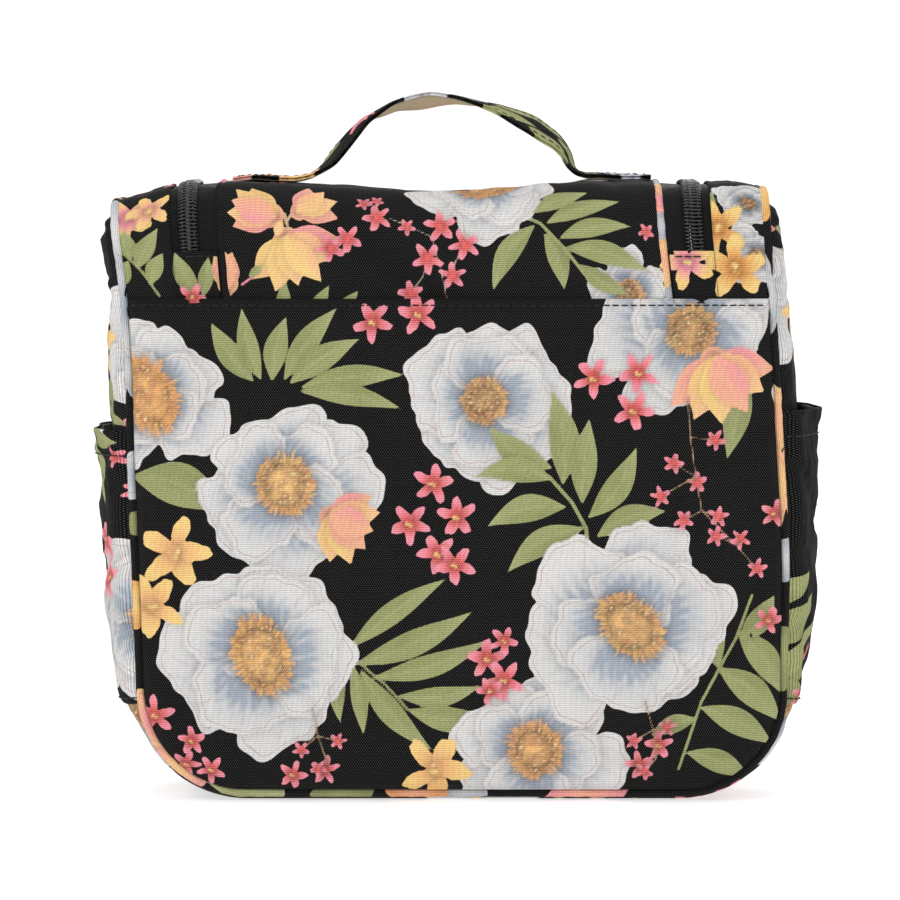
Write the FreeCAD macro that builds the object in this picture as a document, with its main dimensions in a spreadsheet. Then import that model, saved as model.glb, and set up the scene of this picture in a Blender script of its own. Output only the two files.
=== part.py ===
"""Hanging toiletry bag: a soft box whose top and front open as one U-zipped flap, with a carry handle,
two slip pockets on its ends, and a swivel hook, a mesh pocket and a slip pocket inside.

Frame: origin at the middle of the base, +Z up, +X to the right of a viewer who faces the back of the bag.
The back, where the flap is hinged, faces -Y. The front, which the zip opens, faces +Y.
"""

import FreeCAD, Part
import math
import os

import Sketcher

V = FreeCAD.Vector

DIMENSIONS = (
    ("seam_half_width", 115.0, "middle of the bag to the piping line on each side"),
    ("seam_bottom", 3.0, "piping line above the ground"),
    ("corner_radius", 38.0, "bottom corners of the piping line"),
    ("half_depth", 44.0, "middle of the bag to the outer face of front and back"),
    ("bag_height", 220.0, "ground to the outer face of the top"),
    ("fold_radius", 16.0, "rounding between the top and the front or back"),
    ("gusset_proud", 3.0, "gusset outside the piping line"),
    ("seam_gap", 1.8, "panel edge to the middle of the body piping"),
    ("cloth", 0.8, "printed cloth"),
    ("foam", 3.0, "foam sheet behind the cloth"),
    ("lining", 0.5, "lining behind the foam"),
    ("piping_radius", 1.65, "body piping, outside"),
    ("piping_sunk", 0.8, "middle of the body piping below the faces"),
    ("flap_piping_radius", 1.5, "flap piping, outside"),
    ("flap_piping_sunk", 0.4, "middle of the flap piping below the faces"),
    ("cover_thickness", 0.6, "cloth around the piping cord"),
    ("cord_clearance", 0.05, "piping cord inside its cover"),
    ("back_seam_height", 179.0, "edge-stitched seam across the back"),
    ("zip_end_height", 196.0, "where the zip ends on the back"),
    ("flap_half_width", 78.0, "middle of the bag to the flap piping"),
    ("flap_bottom", 38.0, "flap piping above the ground"),
    ("flap_corner_radius", 24.0, "bottom corners of the flap piping"),
    ("flap_edge", 1.8, "flap panels end this far inside the flap piping"),
    ("tape_start", 1.8, "zip tape begins this far outside the flap piping"),
    ("tape_end", 21.0, "zip tape ends this far outside the flap piping"),
    ("chain_centre", 11.5, "flap piping to the middle of the zip chain"),
    ("coil_width", 6.2, "both coils together"),
    ("coil_gap", 1.4, "slot between the two coils"),
    ("coil_proud", 0.6, "coils outside the faces"),
    ("tape_depth", 1.0, "zip tape below the faces"),
    ("tape_thickness", 0.6, "zip tape"),
    ("border_start", 18.0, "border begins this far outside the flap piping"),
    ("fold_gap_degrees", 1.0, "half of the gap between pieces that meet at a fold"),
    ("pocket_bulge", 6.5, "side pocket mouth outside the gusset"),
    ("pocket_top", 136.0, "side pocket mouth above the ground"),
    ("pocket_belly", 74.0, "height where the side pocket reaches its full bulge"),
    ("pocket_foot", 34.0, "bottom of the side pocket"),
    ("pocket_half_depth", 41.0, "side pocket from the middle to its edge seam"),
    ("strap_width", 18.0, "handle strap"),
    ("strap_thickness", 2.0, "handle strap"),
    ("strap_foot", 50.0, "where each end of the handle arch leaves the top"),
    ("strap_cut_left", 37.0, "left end of the part of the arch that tilts"),
    ("strap_cut_right", 45.5, "right end of the part of the arch that tilts"),
    ("slider_rest", 7.4, "middle of the bag to the middle of each closed slider"),
    ("slider_length", 12.0, "zip slider along the chain"),
    ("slider_width", 9.0, "zip slider across the chain"),
    ("slip_half_width", 100.0, "inner slip pocket"),
    ("slip_bottom", 15.0, "inner slip pocket above the ground"),
    ("slip_top", 112.0, "inner slip pocket above the ground"),
    ("slip_depth", 6.6, "inner slip pocket off the lining"),
    ("band_height", 9.0, "elastic band on the slip pocket"),
    ("inner_sheet", 0.6, "mesh and inner pocket cloth"),
    ("mesh_half_width", 64.0, "mesh pocket"),
    ("mesh_bottom", 68.0, "mesh pocket above the ground"),
    ("mesh_top", 172.0, "mesh pocket above the ground"),
    ("mesh_depth", 6.6, "mesh pocket off the lining"),
    ("mesh_zip_height", 160.0, "middle of the mesh pocket's zip"),
    ("mesh_zip_half_length", 58.0, "mesh pocket's zip"),
    ("mesh_slider_rest", 50.0, "mesh pocket slider from the middle, closed"),
    ("hook_pivot_y", 17.5, "axis of the hook's ring"),
    ("hook_pivot_z", 58.0, "axis of the hook's ring"),
    ("hook_radius", 12.25, "hook, middle of its wire"),
    ("hook_wire", 2.25, "hook wire radius"),
)
BEYOND = 20.0

doc = FreeCAD.newDocument("hanging_toiletry_bag")
sheet = doc.addObject("Spreadsheet::Sheet", "Dims")
for row, (alias, value, meaning) in enumerate(DIMENSIONS, 1):
    sheet.set(f"A{row}", alias)
    sheet.set(f"B{row}", str(value))
    sheet.setAlias(f"B{row}", alias)
    sheet.set(f"C{row}", meaning)
doc.recompute()


class Size:
    """A length or number, with the spreadsheet expression that gives it."""

    def __init__(self, value, text):
        self.value = float(value)
        self.text = text

    def __add__(self, other):
        other = as_size(other)
        return Size(self.value + other.value, f"({self.text} + {other.text})")

    def __sub__(self, other):
        other = as_size(other)
        return Size(self.value - other.value, f"({self.text} - {other.text})")

    def __mul__(self, other):
        other = as_size(other)
        return Size(self.value * other.value, f"({self.text} * {other.text})")

    def __neg__(self):
        return self * -1

    def __rsub__(self, other):
        return as_size(other) - self

    __radd__ = __add__
    __rmul__ = __mul__


def as_size(x):
    return x if isinstance(x, Size) else Size(x, f"({float(x)!r})")


def dim(alias):
    return Size(sheet.get(alias), f"Dims.{alias}")


def bind(thing, name, amount):
    """Sets a property from a size, as an expression on the spreadsheet."""
    thing.setExpression(name, as_size(amount).text)


SEAM_X, SEAM_Z, SEAM_R = dim("seam_half_width"), dim("seam_bottom"), dim("corner_radius")
DEPTH, HEIGHT, FOLD = dim("half_depth"), dim("bag_height"), dim("fold_radius")
CLOTH, FOAM, LINING = dim("cloth"), dim("foam"), dim("lining")
WALL = CLOTH + FOAM + LINING
LAYERS = {
    "panel": (as_size(0), CLOTH),
    "foam": (CLOTH, CLOTH + FOAM),
    "lining": (CLOTH + FOAM, WALL),
}
nodes = []


# --- sketches and PartDesign features -------------------------------------------------------------


def start_body(label):
    body = doc.addObject("PartDesign::Body", label)
    body.Label = label
    body.AllowCompound = True
    nodes.append(body)
    return body


def arc_centre(a, b, radius):
    """Centre of the arc from a to b: to the left of the way if radius is positive, else to the right."""
    chord = b - a
    half = chord.Length / 2
    off = math.sqrt(max(radius * radius - half * half, 0.0))
    left = V(-chord.y, chord.x, 0).normalize()
    return (a + b) * 0.5 + left * (off if radius > 0 else -off)


def draw(sketch, corners):
    """Adds a closed loop. A corner is (x, y), or (x, y, radius) where an arc leads on from it: positive
    turns left and negative turns right."""
    first = sketch.GeometryCount
    points = [V(as_size(c[0]).value, as_size(c[1]).value, 0) for c in corners]
    ends = []
    for i, corner in enumerate(corners):
        a, b = points[i], points[(i + 1) % len(corners)]
        if len(corner) == 2:
            sketch.addGeometry(Part.LineSegment(a, b), False)
            ends.append((1, 2))
            continue
        radius = as_size(corner[2]).value
        middle = arc_centre(a, b, radius)
        if radius < 0:
            a, b = b, a
        start, end = (math.atan2(p.y - middle.y, p.x - middle.x) for p in (a, b))
        circle = Part.Circle(middle, V(0, 0, 1), abs(radius))
        sketch.addGeometry(Part.ArcOfCircle(circle, start, end), False)
        ends.append((1, 2) if radius > 0 else (2, 1))
    rules = []
    for i, corner in enumerate(corners):
        here, after = first + i, first + (i + 1) % len(corners)
        follow = ends[(i + 1) % len(corners)][0]
        sketch.addConstraint(Sketcher.Constraint("Coincident", here, ends[i][1], after, follow))
        for kind, amount in (("DistanceX", corner[0]), ("DistanceY", corner[1])):
            value = as_size(amount).value
            added = sketch.addConstraint(Sketcher.Constraint(kind, here, ends[i][0], value))
            rules.append((added, as_size(amount)))
        if len(corner) == 3:
            radius = as_size(corner[2])
            radius = radius if radius.value > 0 else -radius
            added = sketch.addConstraint(Sketcher.Constraint("Radius", here, radius.value))
            rules.append((added, radius))
    for number, amount in rules:
        sketch.setExpression(f"Constraints[{number}]", amount.text)


def add_sketch(body, role, loops, offset=None):
    """A sketch on one of the body's origin planes. XZ sketches face -Y, YZ sketches +X, XY sketches +Z."""
    sketch = body.newObject("Sketcher::SketchObject", body.Name + "_sketch")
    support = next(f for f in body.Origin.OriginFeatures if f.Role == role)
    sketch.AttachmentSupport = [(support, "")]
    sketch.MapMode = "FlatFace"
    if offset is not None:
        bind(sketch, "AttachmentOffset.Base.z", offset)
    for corners in loops:
        draw(sketch, corners)
    doc.recompute()
    return sketch


def extrude(body, kind, sketch, length, symmetric=True):
    """A Pad or a Pocket of a sketch, on both sides of its plane unless symmetric is False."""
    before = body.Shape.Volume if kind == "Pocket" else 0.0
    feature = body.newObject(f"PartDesign::{kind}", f"{body.Name}_{kind}")
    feature.Profile = sketch
    feature.Length = as_size(length).value
    bind(feature, "Length", length)
    feature.SideType = "Symmetric" if symmetric else "One side"
    doc.recompute()
    if kind == "Pocket" and body.Shape.Volume > before - 1e-6:
        raise RuntimeError(f"{body.Label}: the pocket cut nothing")
    return feature


# --- outlines and profiles --------------------------------------------------------------------------


def outline(half, bottom, radius, top):
    """A shape with a straight top and two rounded bottom corners, seen along Y."""
    return [
        (-half, top),
        (-half, bottom + radius, radius),
        (radius - half, bottom),
        (half - radius, bottom, radius),
        (half, bottom + radius),
        (half, top),
    ]


def corner_cuts(half, bottom, radius):
    """The two pieces to cut away so that bottom corners get this radius."""
    right = [
        (half - radius, bottom - 2),
        (half + 2, bottom - 2),
        (half + 2, bottom + radius),
        (half, bottom + radius, -radius),
        (half - radius, bottom),
    ]
    left = [
        (radius - half, bottom, -radius),
        (-half, bottom + radius),
        (-half - 2, bottom + radius),
        (-half - 2, bottom - 2),
        (radius - half, bottom - 2),
    ]
    return [left, right]


def face_outline(inset):
    """Half width, bottom and corner radius of a face panel that ends inset inside the piping line."""
    return SEAM_X - inset, SEAM_Z + inset, SEAM_R - inset


def flap_outline(out):
    """The same for a line that runs out outside the flap piping, or inside it where out is negative."""
    half, bottom = dim("flap_half_width"), dim("flap_bottom")
    return half + out, bottom - out, dim("flap_corner_radius") + out


def fold_point(side, depth, gap):
    """Where a fold's 45 degree cut meets the skin at this depth. side is -1 at the back, 1 at the front.
    gap, in degrees, moves the point towards the top or, where negative, away from it."""
    angle = math.radians(45 + gap)
    reach = FOLD - depth
    across = (DEPTH - FOLD) * side + reach * (side * math.cos(angle))
    return across, (HEIGHT - FOLD) + reach * math.sin(angle)


def wrap_profile(part, outer, inner, low_back, low_front):
    """The profile, seen along X, of a layer between two depths below the skin. part says where it runs:
    up the back to the fold, over the top between the folds, down the front, or the whole wrap."""
    gap = sheet.get("fold_gap_degrees")
    y, z = DEPTH, HEIGHT - FOLD

    def run(depth):
        """The layer's line at one depth, from its back end to its front end, with each arc's radius."""
        reach = FOLD - depth
        back_up = [(-(y - depth), low_back), (-(y - depth), z, -reach)]
        front_down = [(y - depth, z), (y - depth, low_front)]
        if part == "back":
            return [*back_up, fold_point(-1, depth, -gap)]
        if part == "front":
            across, up = fold_point(1, depth, -gap)
            return [(across, up, -reach), *front_down]
        over = [(-(y - FOLD), HEIGHT - depth), (y - FOLD, HEIGHT - depth, -reach)]
        if part == "top":
            across, up = fold_point(-1, depth, gap)
            return [(across, up, -reach), *over, fold_point(1, depth, gap)]
        return [*back_up, *over, *front_down]

    there, back = run(outer), run(inner)
    returned = []
    for i in range(len(back) - 1, -1, -1):
        arc = back[i - 1][2:] if i else ()
        returned.append((*back[i][:2], *(-r for r in arc)))
    return there + returned


def wrap_layer(label, part, depths, edge, hole=None, low_back=None, low_front=None):
    """A layer of the bag's wrap of back, top and front. edge is its side and bottom outline, and hole
    an outline inside which it is open."""
    body = start_body(label)
    low_back = dim("back_seam_height") + 1 if low_back is None else low_back
    half, bottom, radius = edge
    low_front = bottom if low_front is None else low_front
    profile = add_sketch(body, "YZ_Plane", [wrap_profile(part, *depths, low_back, low_front)])
    extrude(body, "Pad", profile, half * 2)
    if part in ("front", "wrap"):
        cuts = add_sketch(body, "XZ_Plane", corner_cuts(half, bottom, radius))
        extrude(body, "Pocket", cuts, DEPTH * 4)
    if hole:
        opening = add_sketch(body, "XZ_Plane", [outline(*hole, HEIGHT + BEYOND)])
        extrude(body, "Pocket", opening, DEPTH * 4)
    return body


def back_layer(label, depths, inset, top):
    """A flat layer of the back below the edge-stitched seam."""
    body = start_body(label)
    shape = add_sketch(body, "XZ_Plane", [outline(*face_outline(inset), top)], DEPTH - depths[1])
    extrude(body, "Pad", shape, depths[1] - depths[0], symmetric=False)
    return body


def gusset_layer(label, depths, edge_gap):
    """A layer of the strip that runs down one end, under the base and up the other end."""
    body = start_body(label)
    out = dim("gusset_proud")
    half_depth = DEPTH - dim("piping_sunk") - edge_gap
    top = HEIGHT - dim("piping_sunk") - edge_gap
    rounding = FOLD - dim("piping_sunk") - edge_gap
    wide, low, radius = SEAM_X + out - depths[0], SEAM_Z - out + depths[0], SEAM_R + out - depths[0]
    thick = depths[1] - depths[0]
    inner = outline(wide - thick, low + thick, radius - thick, top)
    backwards = [(half, up, *(-r for r in rest)) for half, up, *rest in inner]
    turned = [backwards[i][:2] + backwards[i - 1][2:] for i in range(len(inner) - 1, -1, -1)]
    ring = add_sketch(body, "XZ_Plane", [outline(wide, low, radius, top) + turned])
    extrude(body, "Pad", ring, half_depth * 2)
    rear = [
        (-half_depth, top - rounding, -rounding),
        (rounding - half_depth, top),
        (rounding - half_depth, top + 2),
        (-half_depth - 2, top + 2),
        (-half_depth - 2, top - rounding),
    ]
    fore = [
        (half_depth - rounding, top, -rounding),
        (half_depth, top - rounding),
        (half_depth + 2, top - rounding),
        (half_depth + 2, top + 2),
        (half_depth - rounding, top + 2),
    ]
    corners = add_sketch(body, "YZ_Plane", [rear, fore])
    extrude(body, "Pocket", corners, SEAM_X * 4)
    return body


def panels():
    """Printed cloth, foam and lining of every panel."""
    gap, edge = dim("seam_gap"), dim("flap_edge")
    seam = dim("back_seam_height")
    for layer, depths in LAYERS.items():
        inset = gap + 0.6 if layer == "foam" else gap
        inside = flap_outline(-edge - 0.4 if layer == "foam" else -edge)
        border_hole = {"panel": dim("border_start"), "foam": dim("tape_end") + 1}
        hole = flap_outline(border_hole.get(layer, dim("tape_end") + 0.5))
        back_layer(f"back_{layer}", depths, inset, seam)
        wrap_layer(f"yoke_{layer}", "back", depths, inside)
        wrap_layer(f"border_{layer}", "wrap", depths, face_outline(inset), hole)
        wrap_layer(f"top_{layer}", "top", depths, inside)
        wrap_layer(f"flap_{layer}", "front", depths, inside)
        gusset_layer(f"gusset_{layer}", depths, gap)


# --- the main zip -----------------------------------------------------------------------------------


def zip_chain():
    """Zip tape and coil on the body's side, and on the flap's side in three pieces that fold."""
    middle, half_gap = dim("chain_centre"), dim("coil_gap") * 0.5
    half_coil = dim("coil_width") * 0.5
    tape = (dim("tape_depth"), dim("tape_depth") + dim("tape_thickness"))
    coil = (-dim("coil_proud"), dim("tape_depth"))
    coil_foot = dim("zip_end_height") + 1
    outer_coil, outer_tape = flap_outline(middle + half_coil), flap_outline(dim("tape_end"))
    beyond = flap_outline(middle + half_gap)
    wrap_layer("zip_tape_body", "wrap", tape, outer_tape, beyond)
    wrap_layer("zip_coil_body", "wrap", coil, outer_coil, beyond, coil_foot)
    within = flap_outline(middle - half_gap)
    tape_from, coil_from = flap_outline(dim("tape_start")), flap_outline(middle - half_coil)
    for name, part in (("yoke", "back"), ("top", "top"), ("flap", "front")):
        wrap_layer(f"zip_tape_{name}", part, tape, within, tape_from)
        wrap_layer(f"zip_coil_{name}", part, coil, within, coil_from, coil_foot)


def zip_end_tabs():
    """Cloth tabs over the zip's two ends on the back."""
    start = dim("flap_half_width") + dim("tape_start") + 0.4
    width = dim("border_start") - dim("tape_start") - 0.8
    low = dim("back_seam_height") + 1
    for side, name in ((-1, "left"), (1, "right")):
        body = start_body(f"zip_end_tab_{name}")
        near, far = sorted((start * side, (start + width) * side), key=lambda s: s.value)
        top = dim("zip_end_height")
        loop = [(near, low), (far, low), (far, top), (near, top)]
        shape = add_sketch(body, "XZ_Plane", [loop], DEPTH - dim("tape_depth") + 0.05)
        extrude(body, "Pad", shape, dim("tape_depth") - 0.1, symmetric=False)


# --- boxes, cylinders and booleans ----------------------------------------------------------------------


def box(name, low, high):
    """A Part box between two corners."""
    made = doc.addObject("Part::Box", name)
    for prop, axis, a, b in zip(("Length", "Width", "Height"), "xyz", low, high):
        bind(made, prop, as_size(b) - a)
        bind(made, f"Placement.Base.{axis}", as_size(a))
    return made


def cylinder(name, centre, radius, length, along):
    """A Part cylinder centred on a point, along X, Y or Z."""
    made = doc.addObject("Part::Cylinder", name)
    turns = {
        "x": FreeCAD.Rotation(V(0, 1, 0), 90),
        "y": FreeCAD.Rotation(V(1, 0, 0), -90),
        "z": FreeCAD.Rotation(),
    }
    made.Placement = FreeCAD.Placement(V(), turns[along])
    bind(made, "Radius", radius)
    bind(made, "Height", length)
    for axis, amount in zip("xyz", centre):
        shift = as_size(length) * -0.5 if axis == along else 0.0
        bind(made, f"Placement.Base.{axis}", as_size(amount) + shift)
    return made


def joined(label, pieces):
    made = doc.addObject("Part::MultiFuse", label)
    made.Label = label
    made.Shapes = pieces
    return made


def less(label, base, tools):
    """base with tools cut out of it."""
    tool = tools[0] if len(tools) == 1 else joined(label + "_tools", tools)
    made = doc.addObject("Part::Cut", label)
    made.Label = label
    made.Base, made.Tool = base, tool
    return made


def slider(name, centre, facing, nose, scale):
    """A zip slider and its pull. centre is in the middle of the chain and of the tape's thickness. facing is
    the sign of the outward Y direction, nose the sign of the X direction that closes the zip. The sole lies
    behind the upper coil only, so that a slider on the flap lets go of the other coil as the flap opens."""
    x, y, z = (as_size(c) for c in centre)
    length, width = dim("slider_length") * scale, dim("slider_width") * scale
    half, side = length * 0.5, width * 0.5

    def block(part, x_span, out_span, z_half):
        xs = sorted((x + x_span[0] * nose, x + x_span[1] * nose), key=lambda s: s.value)
        ys = sorted((y + out_span[0] * facing, y + out_span[1] * facing), key=lambda s: s.value)
        low, high = (xs[0], ys[0], z - z_half), (xs[1], ys[1], z + z_half)
        return box(f"{name}_{part}", low, high)

    plate_low = as_size(2.05 * scale)
    plate_high = plate_low + 1.2 * scale
    arch_low, arch_high = plate_high + 1.9 * scale, plate_high + 2.9 * scale
    leg_in, leg_out = 2.2 * scale, 3.2 * scale
    pieces = [
        block("crown", (-half, half), (plate_low, plate_high), side),
        block("post", (half - 4.0 * scale, half - 1.0 * scale), (-1.7 * scale, plate_low), 0.4 * scale),
        block("bail_rear", (-leg_out, -leg_in), (plate_high, arch_high), 0.7 * scale),
        block("bail_fore", (leg_in, leg_out), (plate_high, arch_high), 0.7 * scale),
        block("bail_bar", (-leg_in, leg_in), (arch_low, arch_high), 0.7 * scale),
    ]
    sole_y = sorted((y - 1.7 * scale * facing, y - 0.9 * scale * facing), key=lambda s: s.value)
    sole_low, sole_high = (x - half, sole_y[0], z - 0.4 * scale), (x + half, sole_y[1], z + side)
    pieces.append(box(f"{name}_sole", sole_low, sole_high))
    for sign, part in ((-1, "lip_low"), (1, "lip_high")):
        lip_y = sorted((y + 0.42 * scale * facing, y + plate_low * facing), key=lambda s: s.value)
        lip_z = sorted((z + side * sign, z + (side - 0.8 * scale) * sign), key=lambda s: s.value)
        pieces.append(
            box(f"{name}_{part}", (x - half, lip_y[0], lip_z[0]), (x + half, lip_y[1], lip_z[1]))
        )
    nodes.append(joined(f"{name}_slider", pieces))

    pin_out = plate_high + 0.85 * scale
    thick = 0.6 * scale
    layer = (pin_out - thick, pin_out + thick)
    ring = block("ring", (-6.2 * scale, 0.0), layer, 2.9 * scale)
    tongue = block("tongue", (-22.0 * scale, -6.2 * scale), layer, 3.4 * scale)
    tip_x = x + (-22.0 * scale) * nose
    tip_y = y + pin_out * facing
    tip = cylinder(f"{name}_tip", (tip_x, tip_y, z), 3.4 * scale, thick * 2, "y")
    pin = cylinder(f"{name}_pin", (x, tip_y, z), thick, 5.8 * scale, "z")
    blank = joined(f"{name}_blank", [ring, tongue, tip, pin])
    window = block("window", (-4.9 * scale, -0.6 * scale), (layer[0] - 1, layer[1] + 1), 1.7 * scale)
    front = block("relief", (-0.6 * scale, 1.2 * scale), (layer[0] - 1, layer[1] + 1), 1.7 * scale)
    eye = less(f"{name}_eye", blank, [window, front])
    middle = cylinder(f"{name}_bar", (x, tip_y, z), thick, 5.8 * scale, "z")
    nodes.append(joined(f"{name}_pull", [eye, middle]))


# --- swept pieces -------------------------------------------------------------------------------------


def solid_feature(label, shape, list_it=True):
    """A Part::Feature for a shape that no parametric feature makes."""
    made = doc.addObject("Part::Feature", label)
    made.Label = label
    made.Shape = shape
    if list_it:
        nodes.append(made)
    return made


def tube(spine, radius):
    """A solid of round section along a smooth wire."""
    start = spine.Edges[0]
    at, way = start.valueAt(start.FirstParameter), start.tangentAt(start.FirstParameter)
    ring = Part.Wire(Part.Circle(at, way, radius).toShape())
    swept = spine.makePipeShell([ring], not spine.isClosed(), True)
    if not swept.Solids:
        swept = Part.Solid(Part.Shell(swept.Faces))
    if swept.Volume < 0:
        swept.reverse()
    expected = math.pi * radius * radius * spine.Length
    if abs(swept.Volume - expected) > 0.02 * expected:
        raise RuntimeError(f"a tube holds {swept.Volume:.1f} mm3, not {expected:.1f}")
    return swept


def route(points):
    """A wire through points. A point given as (middle, end) is reached by an arc through its middle."""
    edges, here = [], points[0]
    for step in points[1:]:
        if isinstance(step, tuple):
            edges.append(Part.Arc(here, *step).toShape())
            here = step[1]
        else:
            edges.append(Part.LineSegment(here, step).toShape())
            here = step
    return Part.Wire(edges)


def number(alias):
    return float(sheet.get(alias))


def bend(a, b, centre):
    """The middle of the quarter turn or smaller arc from a to b about centre, and b."""
    middle = (a + b) * 0.5 - centre
    return centre + middle.normalize() * (a - centre).Length, b


def piping(label, spines, outer):
    """Cloth cover and the cord inside it, along each of the given wires."""
    bore = outer - number("cover_thickness")
    covers = [tube(s, outer).cut(tube(s, bore)) for s in spines]
    cords = [tube(s, bore - number("cord_clearance")) for s in spines]
    for name, shapes in ((label, covers), (f"{label}_cord", cords)):
        solids = [solid for shape in shapes for solid in shape.Solids]
        solid_feature(name, Part.Compound(solids) if len(solids) > 1 else solids[0])


def body_piping():
    """One closed line round the back, over both ends of the top and round the front."""
    x, z, r = number("seam_half_width"), number("seam_bottom"), number("corner_radius")
    y = number("half_depth") - number("piping_sunk")
    fold, high = number("fold_radius") - number("piping_sunk"), number("bag_height") - number("fold_radius")
    flat = y - fold
    steps = [V(-x, -y, high)]
    for side in (-1, 1):
        left, right = (-x, x) if side < 0 else (x, -x)
        turn = r if side < 0 else -r
        steps += [
            V(left, side * y, z + r),
            bend(V(left, side * y, z + r), V(left + turn, side * y, z), V(left + turn, side * y, z + r)),
            V(right - turn, side * y, z),
            bend(V(right - turn, side * y, z), V(right, side * y, z + r), V(right - turn, side * y, z + r)),
            V(right, side * y, high),
        ]
        up, over = V(right, side * flat, high + fold), V(right, -side * flat, high + fold)
        down = V(right, -side * y, high)
        steps.append(bend(V(right, side * y, high), up, V(right, side * flat, high)))
        steps.append(over)
        steps.append(bend(over, down, V(right, -side * flat, high)))
    piping("body_piping", [route(steps)], number("piping_radius"))


def flap_piping():
    """The flap's edge: two short lines on the back, two over the top and one round the front."""
    x, z, r = number("flap_half_width"), number("flap_bottom"), number("flap_corner_radius")
    sunk, gap = number("flap_piping_sunk"), number("fold_gap_degrees")
    y, fold = number("half_depth") - sunk, number("fold_radius") - sunk
    high, flat = number("bag_height") - number("fold_radius"), number("half_depth") - number("fold_radius")
    low = number("back_seam_height") + 1

    def on_fold(side_x, side_y, degrees):
        """A point on the fold's arc, this many degrees up from the face."""
        turn = math.radians(degrees)
        return V(side_x * x, side_y * (flat + fold * math.cos(turn)), high + fold * math.sin(turn))

    backs, tops = [], []
    for side in (-1, 1):
        rise = V(side * x, -y, high)
        centre = V(side * x, -flat, high)
        backs.append(route([V(side * x, -y, low), rise, bend(rise, on_fold(side, -1, 45 - gap), centre)]))
        start, first = on_fold(side, -1, 45 + gap), V(side * x, -flat, high + fold)
        last, end = V(side * x, flat, high + fold), on_fold(side, 1, 45 + gap)
        far = V(side * x, flat, high)
        tops.append(route([start, bend(start, first, centre), last, bend(last, end, far)]))
    radius = number("flap_piping_radius")
    piping("yoke_piping", backs, radius)
    piping("top_piping", tops, radius)
    left, right = V(-x, y, high), V(x, y, high)
    first, last = on_fold(-1, 1, 45 - gap), on_fold(1, 1, 45 - gap)
    front = route(
        [
            first,
            bend(first, left, V(-x, flat, high)),
            V(-x, y, z + r),
            bend(V(-x, y, z + r), V(r - x, y, z), V(r - x, y, z + r)),
            V(x - r, y, z),
            bend(V(x - r, y, z), V(x, y, z + r), V(x - r, y, z + r)),
            right,
            bend(right, last, V(x, flat, high)),
        ]
    )
    piping("flap_piping", [front], radius)


# --- the handle ---------------------------------------------------------------------------------------


def rounded(points):
    """Straight runs joined by tangent arcs, as large as the runs allow, seen along Y."""
    edges, here = [], points[0]
    for before, corner, after in zip(points, points[1:], points[2:]):
        back, ahead = before - corner, after - corner
        reach = 0.45 * min(back.Length, ahead.Length)
        start, end = corner + back.normalize() * reach, corner + ahead.normalize() * reach
        bisector = (start + end) * 0.5 - corner
        half_turn = math.acos(max(-1.0, min(1.0, (-1) * back.normalize().dot(ahead.normalize())))) / 2
        radius = reach / math.tan(half_turn)
        middle = corner + bisector.normalize() * (radius / math.cos(half_turn) - radius)
        edges += [Part.LineSegment(here, start).toShape(), Part.Arc(start, middle, end).toShape()]
        here = end
    edges.append(Part.LineSegment(here, points[-1]).toShape())
    return Part.Wire(edges)


def handle():
    """A flat strap: two ends sewn down along the top, and the arch between them."""
    thick, width = number("strap_thickness"), number("strap_width")
    foot, top = number("strap_foot"), number("bag_height") + thick / 2
    edge = number("flap_half_width") - number("flap_piping_radius") - 0.3 - thick / 2
    line = [
        V(-edge, 0, top),
        V(-foot, 0, top + 0.1),
        V(-38, 0, top + 5.5),
        V(-32.5, 0, top + 19),
        V(-19, 0, top + 27),
        V(0, 0, top + 30.5),
        V(20, 0, top + 27),
        V(42, 0, top + 14.5),
        V(foot + 0.6, 0, top + 3),
        V(foot + 2.0, 0, top),
        V(edge, 0, top + 0.05),
    ]
    rim = rounded(line).makeOffset2D(thick / 2, 0, True, False, False)
    strap = rim.extrude(V(0, width, 0))
    strap.translate(V(0, -width / 2, 0))
    left, right, gap = number("strap_cut_left"), number("strap_cut_right"), 0.4

    def slab(x_low, x_high):
        return Part.makeBox(x_high - x_low, 60, 60, V(x_low, -30, number("bag_height") - 1))

    solid_feature("handle_strap", strap.common(slab(-left, right)).Solids[0])
    solid_feature("handle_end_left", strap.common(slab(-90, -left - gap)).Solids[0])
    solid_feature("handle_end_right", strap.common(slab(right + gap, 90)).Solids[0])


# --- pockets ------------------------------------------------------------------------------------------


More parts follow.
